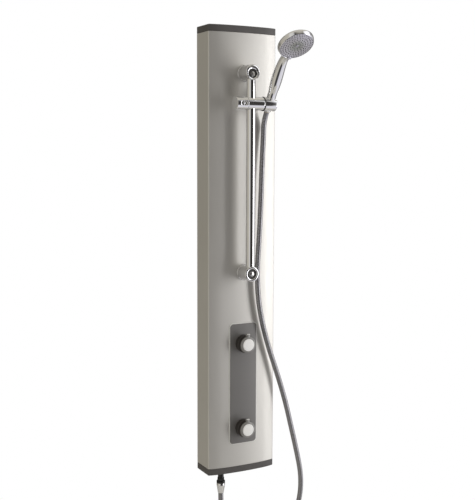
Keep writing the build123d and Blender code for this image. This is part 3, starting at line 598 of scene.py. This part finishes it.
# Rail: a tube whose ends follow the posts, z = centre -+ sqrt(R(y)^2 - x^2)
def makeRail():
    radius = railSize[0] / 2
    turn = np.linspace(0, 2 * math.pi, 96, endpoint=False)
    x = radius * np.sin(turn)
    y = railMiddle[1] - radius * np.cos(turn)
    outwards = -(y + postSet["rootDepth"])
    postRadius = postSet["base"] + (postSet["tip"] - postSet["base"]) * outwards / postSet["length"]
    rise = np.sqrt(postRadius ** 2 - x ** 2) - 0.4
    ends = [nodeBox("lower_rail_post")[2][2] + rise, nodeBox("upper_rail_post")[2][2] - rise]
    share = np.linspace(0, 1, 40)[:, None]
    z = ends[0] * (1 - share) + ends[1] * share
    points = np.stack([x + 0 * z, y + 0 * z, z], -1)
    middles = [np.stack([x * 0, y * 0 + railMiddle[1], end], -1)[None] for end in ends]
    surface = gridSurface(np.concatenate([middles[0], points, middles[1]]), loopCols=True)
    piece("riserRail", surface, finishes["chrome"], "panel", ["rail_tube"], 40)


# The rim between the outer radius R and the recess r is half an ellipse: along = L - b + b sin t,
# radius = (R + r)/2 + (R - r)/2 cos t. Rings near the recess are lowered by drop.
def makePost(name, node, drop):
    high, middle = nodeBox(node)[1:3]
    origin = np.array([middle[0], high[1], middle[2]])
    s = postSet
    t = np.linspace(0, math.pi, 15)
    start = s["length"] - s["bulge"]
    half = (s["tip"] - s["recess"]) / 2
    rim = np.stack([start + s["bulge"] * np.sin(t), s["recess"] + half + half * np.cos(t)], -1)
    floor = s["length"] - s["recessDepth"]
    profile = np.vstack([[[0.0, 0.0]], softProfile([(0.0, s["base"] - 0.6), (0.0, s["base"], 0.5),
                         (start - 1, s["tip"] + 0.1)])[1:], rim, [[floor, s["recess"] - 0.3], [floor, 0.0]]])
    points, quads = turned(profile, (origin, alongFront), 96)
    radius = np.repeat(profile[:, 1], 96)
    inside = np.repeat(profile[:, 0] > start - 0.01, 96) * np.clip((s["tip"] - radius) / (2 * half), 0, 1)
    points[:, 2] -= drop * inside
    piece(name, (points, quads), finishes["chrome"], "panel", [node], 38)
    return (origin, alongFront), (origin - [0, 0, drop], alongFront)


def makePosts():
    upper = makePost("upperPost", "upper_rail_post", postSet["recessDrop"])
    lower = makePost("lowerPost", "lower_rail_post", 0.0)
    flange = softProfile([(-6.0, 0.0), (-6.0, 22.0), (-0.9, 22.0, 0.8), (0.0, 21.4, 0.5), (0.0, 0.0)])
    floor = postSet["length"] - postSet["recessDepth"]
    insert = softProfile([(floor - 0.6, 0.0), (floor - 0.6, 13.0), (floor + 0.5, 13.0, 0.3), (floor + 0.9, 9.6, 0.6),
                          (floor + 0.3, 8.6, 0.3), (floor + 0.3, 0.0)])
    head = softProfile([(floor - 0.6, 0.0), (floor - 0.6, 6.6), (floor + 1.6, 6.8, 0.9), (floor + 2.7, 0.0)], 6)
    both = [upper[1], lower[1]]
    piece("postFlanges", joined([turned(flange, p, 96) for p in (upper[0], lower[0])]), finishes["chrome"], "panel",
          ["post_flanges"])
    piece("postInserts", joined([turned(insert, p, 72) for p in both]), finishes["darkInsert"], "panel",
          ["post_dish_inserts"])
    slots = []
    for origin, basis in both:
        slots.append(blockSurface((-0.75, 0.75), (-9, 9), (floor + 1.2, floor + 4), (origin, basis), 28.0))
    piece("postScrews", joined([turned(head, p, 48) for p in both]), finishes["stainless"], "panel", ["post_bolts"],
          cut=slots)


# A block as a cutter, turned about its own third direction
def blockSurface(xs, ys, zs, place, turn=0.0):
    a = math.radians(turn)
    square = np.array([[xs[0], ys[0]], [xs[1], ys[0]], [xs[1], ys[1]], [xs[0], ys[1]]], float)
    square = square @ np.array([[math.cos(a), math.sin(a)], [-math.sin(a), math.cos(a)]])
    middle = square * 0 + square.mean(0)
    rings = np.array([ringAt(middle, zs[0]), ringAt(square, zs[0]), ringAt(square, zs[1]), ringAt(middle, zs[1])])
    return placed(gridSurface(rings, loopCols=True), place)


makeRail()
makePosts()
print("rail and posts done")


# ---------------------------------------------------------------- slider, clamp knob and holder
sliderSet = {"bore": 12.07, "round": 0.7, "pocketX": -28.0, "pocketLong": 8.5, "pocketHigh": 5.5, "pocketDepth": 2.4,
             "pocketPower": 3.2}


# Slider: a level barrel that the upright rail goes through. At height angle a the barrel's edge lies
# R cos a in front of its axis, and the rail takes away |x| < sqrt(bore^2 - (R cos a)^2) there.
def makeSlider():
    radius = sliderSize[2] / 2
    axis = sliderMiddle
    bore = sliderSet["bore"]
    a = np.linspace(0, 2 * math.pi, 144, endpoint=False)
    forward = radius * np.cos(a)
    gap = np.sqrt(np.maximum(bore ** 2 - forward ** 2, 0))
    share = np.linspace(0, 1, 22)[:, None]
    ends = {-1: sliderLow[0], 1: sliderHigh[0]}
    surfaces = []
    for side, end in ends.items():
        edge = end - side * sliderSet["round"]
        x = side * gap * (1 - share) + edge * share
        skin = np.stack([x, axis[1] - forward + 0 * x, axis[2] + radius * np.sin(a) + 0 * x], -1)
        rim = [(end - side * 0.2, radius - 0.2), (end, radius - 0.7), (end, 0.0)]
        surfaces.append(gridSurface(np.concatenate([skin, levelRings(rim, a, axis)]), loopCols=True))
    y = bore * np.sin(a)
    reach = np.sqrt(radius ** 2 - y ** 2)
    z = reach * (1 - 2 * share)
    wall = np.stack([bore * np.cos(a) + 0 * z, axis[1] + y + 0 * z, axis[2] + z], -1)
    surfaces.append(gridSurface(wall, loopCols=True))
    piece("sliderBarrel", joined(surfaces), finishes["chromedPlastic"], "slider", ["slider_body"], 40)
    ring = softProfile([(0.0, 0.0), (0.0, 18.7, 0.5), (2.0, 18.7, 0.5), (2.0, 0.0)])
    piece("frictionRing", turned(ring, ([sliderHigh[0], axis[1], axis[2]], alongX), 96), finishes["darkRing"], "slider",
          ["friction_ring"])


# Clamp knob: radius(x, turn) = R - pocket depth inside a rounded oblong on its front
def makeClampKnob():
    low, high, middle, size = nodeBox("clamp_knob")
    radius = size[2] / 2
    s = sliderSet
    x = np.concatenate([low[0] + np.array([2.0]), np.linspace(low[0] + 2.6, high[0] - 0.9, 90)])[:, None]
    a = np.linspace(-math.pi, math.pi, 220, endpoint=False)
    lengthways = (x - s["pocketX"]) / s["pocketLong"]
    across = radius * a / s["pocketHigh"]
    power = s["pocketPower"]
    inside = (np.abs(lengthways) ** power + np.abs(across) ** power) ** (1 / power)
    step = np.clip((1.12 - inside) / 0.24, 0, 1)
    r = radius - s["pocketDepth"] * step * step * (3 - 2 * step)
    skin = np.stack([x + 0 * a, middle[1] - r * np.cos(a), middle[2] + r * np.sin(a)], -1)
    left = softProfile([(low[0], 0.0), (low[0], 8.0), (low[0] + 0.3, 10.0, 0.8), (low[0], 12.5, 0.8),
                        (low[0], radius, 2.0), (low[0] + 2.0, radius)], 7)
    right = [(high[0] - 0.3, radius - 0.2), (high[0], radius - 0.8), (high[0], 0.0)]
    grid = np.concatenate([levelRings(left[:-1], a, middle), skin, levelRings(right, a, middle)])
    piece("clampKnob", gridSurface(grid, loopCols=True), finishes["chromedPlastic"], "clamp_knob_body",
          ["clamp_knob"], 42)
    stud = nodeBox("clamp_knob_stud")
    place = ([stud[2][0], stud[1][1], stud[2][2]], alongFront)
    profile = softProfile([(-0.4, 0.0), (-0.4, 3.6), (1.2, 3.6, 0.9), (2.2, 2.0, 0.8), (2.3, 0.0)], 6)
    piece("clampStud", turned(profile, place, 48), finishes["chromedPlastic"], "clamp_knob_body", ["clamp_knob_stud"])


def makeHolder():
    radius = holderSize[2] / 2
    place = ([holderLow[0], holderMiddle[1], holderMiddle[2]], alongX)
    length = holderSize[0]
    body = softProfile([(0.0, 0.0), (0.0, radius, 0.5), (length, radius, 3.2), (length, 0.0)], 9)
    taper = np.array([[-30.0, 0.0], [-30.0, 10.08 - 0.5], [-20.0, 10.08], [20.0, 12.08], [30.0, 12.58], [30.0, 0.0]])
    slot = blockSurface((0.0, 60.0), (-7.5, 7.5), (-30.0, 30.0), handlePlace)
    piece("handsetHolder", turned(body, place, 128), finishes["chromedPlastic"], "holder", ["handset_holder"], 34,
          cut=[turned(taper, handlePlace, 96), slot])


makeSlider()
makeClampKnob()
makeHolder()
print("slider and holder done")


# ---------------------------------------------------------------- handset
handleStations = np.array([
    # along, forward, half width, half depth
    (22.3, 0.0, 11.2, 11.2), (23.0, 0.0, 11.9, 11.9), (36.0, 0.0, 11.9, 11.9), (48.0, -0.2, 13.2, 13.2),
    (62.0, -0.3, 14.2, 14.2), (78.0, -0.4, 14.3, 14.3), (92.0, -0.2, 13.8, 13.8), (106.0, 0.5, 12.9, 12.9),
    (120.0, 1.8, 11.9, 11.9), (132.0, 4.6, 11.0, 10.8), (142.0, 9.0, 10.6, 9.9), (152.0, 15.2, 11.4, 9.2),
    (162.0, 22.6, 12.4, 8.8)])


def headLine():
    h = headSet
    t = np.linspace(0, 1, 40)[:, None]
    # back dome from the axis to the rim, a parabola arc; then the rim's own round and the lip to the face
    dome = (1 - t) ** 2 * [-h["depth"], 5.0] + 2 * t * (1 - t) * [-h["depth"] - 0.3, h["radius"] * 0.80] \
        + t ** 2 * [-h["rim"] - 1.4, h["radius"] - 0.15]
    rim = softProfile([(-h["rim"] - 1.4, h["radius"] - 0.15), (-h["rim"] + 1.0, h["radius"] + 0.1, 1.2),
                       (-0.7, h["face"] + 1.5, 0.8), (0.0, h["face"] + 0.5, 0.3), (-0.9, h["face"] + 0.1)], 6)
    return dome, rim


# Handle: ring(s, turn) = spine(s) + (width cos turn, depth sin turn), with spine and sizes interpolated
# smoothly through the stations and each ring square to the spine.
def handleRings(count=150, around=96):
    k = np.arange(len(handleStations))
    fine = np.linspace(0, len(k) - 1, count)
    values = np.stack([smoothThrough(fine, handleStations[:, c]) for c in range(4)], -1)
    ahead = np.gradient(values[:, :2], axis=0)
    ahead /= np.linalg.norm(ahead, axis=1, keepdims=True)
    turn = np.linspace(0, 2 * math.pi, around, endpoint=False)
    across = values[:, 2:3] * np.cos(turn)
    deep = values[:, 3:4] * np.sin(turn)
    along = values[:, 0:1] + deep * -ahead[:, 1:2]
    forward = values[:, 1:2] + deep * ahead[:, 0:1]
    return np.stack([across, -forward, along], -1)


# Catmull-Rom curve through evenly numbered values
def smoothThrough(x, values):
    v = np.concatenate([[2 * values[0] - values[1]], values, [2 * values[-1] - values[-2]]])
    i = np.clip(np.floor(x).astype(int), 0, len(values) - 2)
    t = x - i
    a, b, c, d = v[i], v[i + 1], v[i + 2], v[i + 3]
    return 0.5 * (2 * b + (c - a) * t + (2 * a - 5 * b + 4 * c - d) * t ** 2 + (3 * b - a - 3 * c + d) * t ** 3)


def makeHandsetShell():
    dome, rim = headLine()
    outline = np.vstack([[[-headSet["depth"], 0.0]], dome, rim[1:], [[-2.5, headSet["face"] + 0.1], [-2.5, 0.0]]])
    head = turned(outline, headPlace, 144)
    rings = handleRings()
    caps = [rings[:1].mean(1, keepdims=True) + 0 * rings[:1], rings[-1:].mean(1, keepdims=True) + 0 * rings[-1:]]
    handle = placed(gridSurface(np.concatenate([caps[0], rings, caps[1]]), loopCols=True), handlePlace)
    piece("handsetShell", joined([head, handle]), finishes["chromedPlastic"], "handset", ["handset_shell"], 40)


# (radius, number) of the nozzles in each ring, and the pitch of the fine rings in the face
nozzleRings = [(10.0, 8), (16.5, 14), (23.0, 20), (29.5, 26)]
outerRings = [(36.0, 34), (40.8, 40)]
ringPitch = 1.6


# One pip is a small turned cone; all pips of the list are made in one go by adding their centres.
def pips(rings, size, height, lift):
    centres = np.vstack([np.stack([r * np.cos(2 * math.pi * np.arange(n) / n + r),
                                   r * np.sin(2 * math.pi * np.arange(n) / n + r)], -1) for r, n in rings])
    profile = np.array([[0.0, size * 1.15], [height * 0.75, size * 0.8], [height, size * 0.45], [height, 0.0]])
    turn = np.linspace(0, 2 * math.pi, 8, endpoint=False)
    radius = profile[:, 1:2]
    one = np.stack([radius * np.cos(turn), radius * np.sin(turn), profile[:, :1] + lift + 0 * turn], -1)
    points, quads = gridSurface(one, loopCols=True)
    base = np.concatenate([centres, np.zeros((len(centres), 1))], -1)
    allPoints = (points[None] + base[:, None]).reshape(-1, 3)
    allQuads = (quads[None] + (np.arange(len(centres)) * len(points))[:, None, None]).reshape(-1, 4)
    return placed((allPoints, allQuads), headPlace)


def faceMaterial():
    material, tree, shader = shaderFor("sprayFaceRings")
    place = tree.nodes.new("ShaderNodeTexCoord")
    shift = tree.nodes.new("ShaderNodeVectorMath")
    shift.operation = "SUBTRACT"
    shift.inputs[1].default_value = headOrigin * mm
    length = tree.nodes.new("ShaderNodeVectorMath")
    length.operation = "LENGTH"
    tree.links.new(place.outputs["Object"], shift.inputs[0])
    tree.links.new(shift.outputs["Vector"], length.inputs[0])
    rings = mathOn(tree, "SINE", mathOn(tree, "MULTIPLY", length.outputs["Value"], 2 * math.pi / (ringPitch * mm)))
    tone = rangeOf(tree, length.outputs["Value"], 0.0, 1.0, 0.004, 0.044)
    colour = rampOf(tree, tone, [(0.0, (0.30, 0.32, 0.29)), (0.25, (0.46, 0.47, 0.46)), (0.5, (0.60, 0.59, 0.64)),
                                 (1.0, (0.64, 0.63, 0.70))])
    tree.links.new(colour, shader.inputs["Base Color"])
    bumpOf(tree, shader, rings, 0.6, 0.00012)
    fine = noiseOn(tree, 900.0)
    tree.links.new(rangeOf(tree, fine.outputs["Fac"], 0.24, 0.34), shader.inputs["Roughness"])
    shader.inputs["Metallic"].default_value = 0.75
    return material


def makeFace():
    face = faceMaterial()
    plate = softProfile([(-3.0, 0.0), (-3.0, 34.7), (0.0, 34.7, 0.3), (0.25, 8.0, 2.0), (-0.2, 5.2, 0.3), (-0.2, 0.0)])
    piece("sprayPlate", turned(plate, headPlace, 128), face, "handset", ["spray_face"])
    ring = loopProfile([(-3.0, 34.95), (-0.3, 34.95, 0.2), (0.0, 35.4, 0.3), (-0.4, 42.6, 0.6), (-1.1, 43.35, 0.3),
                        (-3.0, 43.35)])
    tab = slabSurface(5.5, 3.6, 1.6, [(0.0, -0.5), (0.0, 1.0), (0.35, 1.7), (1.0, 2.0)],
                      (headOrigin + np.array([0, -44.0, -0.6]) @ headBasis, headBasis))
    piece("sprayRing", joined([turned(ring, headPlace, 144), tab]), face, "dial", ["spray_dial"], 40)
    piece("outerPips", pips(outerRings, 1.35, 1.1, -0.25), finishes["nozzleRubber"], "dial")
    piece("sprayPips", pips(nozzleRings, 1.4, 1.7, -0.1), finishes["nozzleRubber"], "handset", ["spray_nozzles"])
    cap = softProfile([(-3.0, 0.0), (-3.0, 4.9), (0.6, 4.9, 0.5), (1.1, 3.4, 0.8), (0.9, 0.0)], 6)
    piece("faceCentre", turned(cap, headPlace, 64), finishes["sprayFace"], "handset", ["face_centre_cap"])


# Rounded oblong slab: outline(turn) is a superellipse with half sizes less the inset, stacked in levels.
def slabSurface(halfLong, halfHigh, power, levels, place):
    turn = np.linspace(0, 2 * math.pi, 64, endpoint=False)
    wave = np.stack([np.sign(np.cos(turn)) * np.abs(np.cos(turn)) ** (1 / (power + 1)),
                     np.sign(np.sin(turn)) * np.abs(np.sin(turn)) ** (1 / (power + 1))], -1)
    rings = [ringAt(wave * [halfLong - inset, halfHigh - inset], z) for inset, z in levels]
    rings = [rings[0] * [0, 0, 1]] + rings + [rings[-1] * [0, 0, 1]]
    return placed(gridSurface(np.array(rings), loopCols=True), place)


def makeHandsetEnd():
    taper = loopProfile([(-20.0, 7.2), (-20.0, 10.0, 0.8), (-18.4, 10.08), (20.0, 12.0), (22.1, 12.0, 0.5),
                         (22.1, 7.2)])
    piece("upperNut", turned(taper, handlePlace, 96), finishes["chrome"], "hose_end", ["upper_hose_nut"], 36)


makeHandsetShell()
makeFace()
makeHandsetEnd()
print("handset done")


# ---------------------------------------------------------------- control plate and knobs
plateSet = {"halfWide": 40.0, "corner": 9.5, "thick": 2.0, "edge": 0.6}


# Plate: x = s half(z), y = front(x) - lift, where half(z) narrows by corner - sqrt(corner^2 - d^2) near
# the ends, d being the way into the rounded corner.
def plateSheet(low, high, inset, lift, cols=41):
    corner = plateSet["corner"] - inset
    end = np.sin(np.linspace(0, math.pi / 2, 10))
    top = high - inset
    bottom = low + inset
    z = np.concatenate([bottom + corner - corner * end[::-1], np.linspace(bottom + corner, top - corner, 42)[1:-1],
                        top - corner + corner * end])
    deep = np.maximum(np.maximum(bottom + corner - z, z - top + corner), 0)
    half = plateSet["halfWide"] - inset - corner + np.sqrt(np.maximum(corner ** 2 - deep ** 2, 0))
    x = np.linspace(-1, 1, cols)[None] * half[:, None]
    return np.stack([x, frontDepth(x) - lift, z[:, None] + 0 * x], -1)


def borderOf(grid):
    return np.concatenate([grid[0, :-1], grid[:-1, -1], grid[-1, :0:-1], grid[:0:-1, 0]])


def makePlate():
    low, high = nodeBox("control_plate")[:2]
    edge = plateSet["edge"]
    front = plateSheet(low[2], high[2], edge, plateSet["thick"])
    back = plateSheet(low[2], high[2], 0.0, 0.2)
    brim = plateSheet(low[2], high[2], 0.0, plateSet["thick"] - edge)
    wall = gridSurface(np.array([borderOf(front), borderOf(brim), borderOf(back)]), loopCols=True)
    piece("controlPlate", joined([gridSurface(front), wall, gridSurface(back)]), finishes["controlPlate"], "panel",
          ["control_plate"], 25)
    # a bright bead round the plate's edge: a painted highlight standing in for the light its chamfered edge catches
    bead = [plateSheet(low[2], high[2], inset, lift) for inset, lift in
            ((0.2, 0.1), (-1.5, 0.1), (-1.7, 0.5), (-1.2, 1.0), (0.2, 1.2))]
    strip = gridSurface(np.array([borderOf(b) for b in bead]), loopRows=True, loopCols=True)
    piece("plateBead", strip, finishes["paintedHighlightBead"], "panel", (), 40)


# Knob: the grip is turned, and its pointer tab is a slab at the top.
def makeKnob(name, body):
    high, middle = nodeBox(name + "_knob_collar")[1:3]
    place = ([middle[0], high[1], middle[2]], alongFront)
    collar = loopProfile([(-1.0, 20.8), (-1.0, 24.0), (14.8, 24.0, 0.8), (16.0, 22.6, 0.8), (16.0, 20.8, 0.4)], 6)
    piece(name + "Collar", turned(collar, place, 96), finishes["knobDark"], "panel", [name + "_knob_collar"])
    well = softProfile([(1.2, 0.0), (1.2, 21.2), (2.0, 21.2, 0.3), (2.0, 0.0)])
    piece(name + "Well", turned(well, place, 72), finishes["knobDark"], "panel")
    core = softProfile([(2.6, 0.0), (2.6, 11.0), (17.5, 11.0, 0.5), (17.5, 22.2, 0.7), (25.6, 22.2), (25.6, 0.0)], 6)
    piece(name + "Grip", turned(core, place, 128), finishes["knobDark"], body, [name + "_knob_grip"])
    ring = loopProfile([(25.3, 16.7), (25.3, 22.3), (26.2, 22.5, 0.5), (29.2, 19.4, 0.7), (29.4, 17.2, 0.4),
                        (28.6, 16.7, 0.3)], 6)
    tab = slabSurface(5.0, 5.6, 3.0, [(0.4, 20.8), (0.0, 21.3), (0.0, 27.2), (0.5, 27.9), (1.2, 28.2)],
                      ([place[0][0], place[0][1], place[0][2] + 23.9], alongFront))
    piece(name + "Ring", joined([turned(ring, place, 128), tab]), finishes["knobGrey"], body, sharp=34)
    # a thin near-white strip on the tab's top edge: a painted highlight standing in for the light that edge catches
    edge = slabSurface(4.4, 0.9, 2.0, [(0.0, 26.0), (0.0, 27.9), (0.3, 28.5)],
                       ([place[0][0], place[0][1], place[0][2] + 28.9], alongFront))
    piece(name + "PaintedHighlight", edge, finishes["paintedHighlightBead"], body, sharp=34)
    disc = softProfile([(27.2, 0.0), (27.2, 16.5), (30.2, 16.5, 1.1), (31.1, 0.0)], 7)
    piece(name + "Disc", turned(disc, place, 96), finishes["knobDisc"], body, [name + "_knob_disc"])


makePlate()
makeKnob("temperature", "temperature_knob")
makeKnob("flow", "flow_knob")
print("plate and knobs done")


# ---------------------------------------------------------------- outlet under the panel
def makeOutlet():
    high, middle = nodeBox("lower_hose_nut")[1:3]
    place = ([middle[0], middle[1], high[2]], alongUp)
    cone = loopProfile([(-28.0, 7.15), (-28.0, 8.0, 0.5), (-25.5, 8.3), (-6.0, 11.5, 0.8), (-0.8, 11.6, 0.5),
                        (0.0, 11.1, 0.3), (0.0, 8.2)])
    piece("lowerNut", turned(cone, place, 96), finishes["chrome"], "panel", ["lower_hose_nut"], 36)
    shroud = loopProfile([(0.25, 8.0), (0.25, 11.7, 0.5), (3.0, 11.7, 0.4), (3.5, 11.2, 0.3), (4.0, 11.7, 0.4),
                          (6.3, 11.7, 0.5), (6.3, 8.0)])
    piece("outletShroud", turned(shroud, place, 72), finishes["blackFitting"], "panel", ["outlet_shroud"])


makeOutlet()
print("outlet done")


# ---------------------------------------------------------------- studio
studio = {
    "floor": -1.3, "floorRadius": 1.2,
    "keyPower": 24.0, "keyPlace": (2.3, -2.1, -0.05), "keySize": (0.8, 2.4), "keyColour": (1.0, 0.99, 0.98),
    "fillPower": 9.0, "fillPlace": (-0.9, -2.6, 0.5), "fillSize": (1.2, 1.8), "fillColour": (1.0, 0.95, 0.86),
}


def worldAround():
    world = bpy.data.worlds.new("studioWorld")
    bpy.context.scene.world = world
    world.use_nodes = True
    tree = world.node_tree
    tree.nodes.clear()
    place = tree.nodes.new("ShaderNodeTexCoord")
    turn = tree.nodes.new("ShaderNodeMapping")
    turn.inputs["Rotation"].default_value = (0, 0, math.radians(cameraSetup["yaw"]))
    split = tree.nodes.new("ShaderNodeSeparateXYZ")
    tree.links.new(place.outputs["Generated"], turn.inputs["Vector"])
    tree.links.new(turn.outputs["Vector"], split.inputs["Vector"])
    back = mathOn(tree, "MULTIPLY", split.outputs["Y"], -1)
    angle = mathOn(tree, "ARCTAN2", split.outputs["X"], back)
    around = rangeOf(tree, angle, 0, 1, -math.pi, math.pi)
    walls = rampOf(tree, around, [
        (0.00, (0.22, 0.21, 0.18)), (0.20, (0.20, 0.19, 0.16)), (0.24, (0.44, 0.41, 0.35)), (0.38, (0.54, 0.51, 0.44)),
        (0.41, (0.74, 0.73, 0.69)), (0.465, (0.62, 0.61, 0.59)), (0.495, (0.03, 0.028, 0.027)),
        (0.665, (0.05, 0.047, 0.045)), (0.69, (1.35, 1.35, 1.37)), (0.80, (1.25, 1.25, 1.27)),
        (0.83, (0.30, 0.29, 0.30)), (1.00, (0.26, 0.25, 0.22))])
    ground = rampOf(tree, around, [
        (0.00, (0.40, 0.38, 0.34)), (0.20, (0.52, 0.49, 0.42)), (0.36, (0.58, 0.55, 0.48)), (0.41, (0.05, 0.048, 0.05)),
        (0.52, (0.06, 0.057, 0.06)), (0.57, (0.74, 0.73, 0.79)), (0.84, (0.85, 0.84, 0.88)), (0.90, (0.38, 0.37, 0.38)),
        (1.00, (0.40, 0.38, 0.34))])
    ceiling = rampOf(tree, around, [(0.0, (0.62, 0.59, 0.52)), (0.5, (0.60, 0.57, 0.50)), (1.0, (0.62, 0.59, 0.52))])
    height = rangeOf(tree, split.outputs["Z"], 0, 1, -1, 1)
    low = rampOf(tree, height, [(0.0, (1, 1, 1)), (0.22, (1, 1, 1)), (0.30, (0, 0, 0)), (1.0, (0, 0, 0))])
    high = rampOf(tree, height, [(0.0, (0, 0, 0)), (0.80, (0, 0, 0)), (0.86, (1, 1, 1)), (1.0, (1, 1, 1))])
    shade = walls
    for share, colour in ((low, ground), (high, ceiling)):
        mix = tree.nodes.new("ShaderNodeMix")
        mix.data_type = "RGBA"
        tree.links.new(share, mix.inputs["Factor"])
        tree.links.new(shade, mix.inputs["A"])
        tree.links.new(colour, mix.inputs["B"])
        shade = mix.outputs["Result"]
    lit = tree.nodes.new("ShaderNodeBackground")
    tree.links.new(shade, lit.inputs["Color"])
    white = tree.nodes.new("ShaderNodeBackground")
    white.inputs["Color"].default_value = (1, 1, 1, 1)
    ray = tree.nodes.new("ShaderNodeLightPath")
    pick = tree.nodes.new("ShaderNodeMixShader")
    tree.links.new(ray.outputs["Is Camera Ray"], pick.inputs["Fac"])
    tree.links.new(lit.outputs["Background"], pick.inputs[1])
    tree.links.new(white.outputs["Background"], pick.inputs[2])
    out = tree.nodes.new("ShaderNodeOutputWorld")
    tree.links.new(pick.outputs["Shader"], out.inputs["Surface"])


def areaLight(name):
    data = bpy.data.lights.new(name + "Light", "AREA")
    data.shape = "RECTANGLE"
    data.size, data.size_y = studio[name + "Size"]
    data.energy = studio[name + "Power"]
    data.color = studio[name + "Colour"]
    light = added(name + "Light", data)
    light.location = studio[name + "Place"]
    light.rotation_euler = (-light.location).to_track_quat("-Z", "Y").to_euler()
    return light


def makeFloor():
    turn = np.linspace(0, 2 * math.pi, 128, endpoint=False)
    rings = np.array([[0.0], [500.0], [studio["floorRadius"] / mm]])
    points = np.stack([rings * np.cos(turn), rings * np.sin(turn), rings * 0 + studio["floor"] / mm + 0 * turn], -1)
    mesh = meshFrom("studioFloor", gridSurface(points, loopCols=True))
    floor = added("studioFloor", mesh)
    paper = finish("studioPaper", (0.82, 0.82, 0.82), (0.86, 0.86, 0.86), (0.8, 0.9), 0.0, 40.0, bump=0.02)
    mesh.materials.append(paper)


worldAround()
areaLight("key")
fill = areaLight("fill")
fill.visible_glossy = False  # so that the chrome does not mirror it
makeFloor()
bpy.context.scene.view_settings.view_transform = "Standard"
print("studio ready")
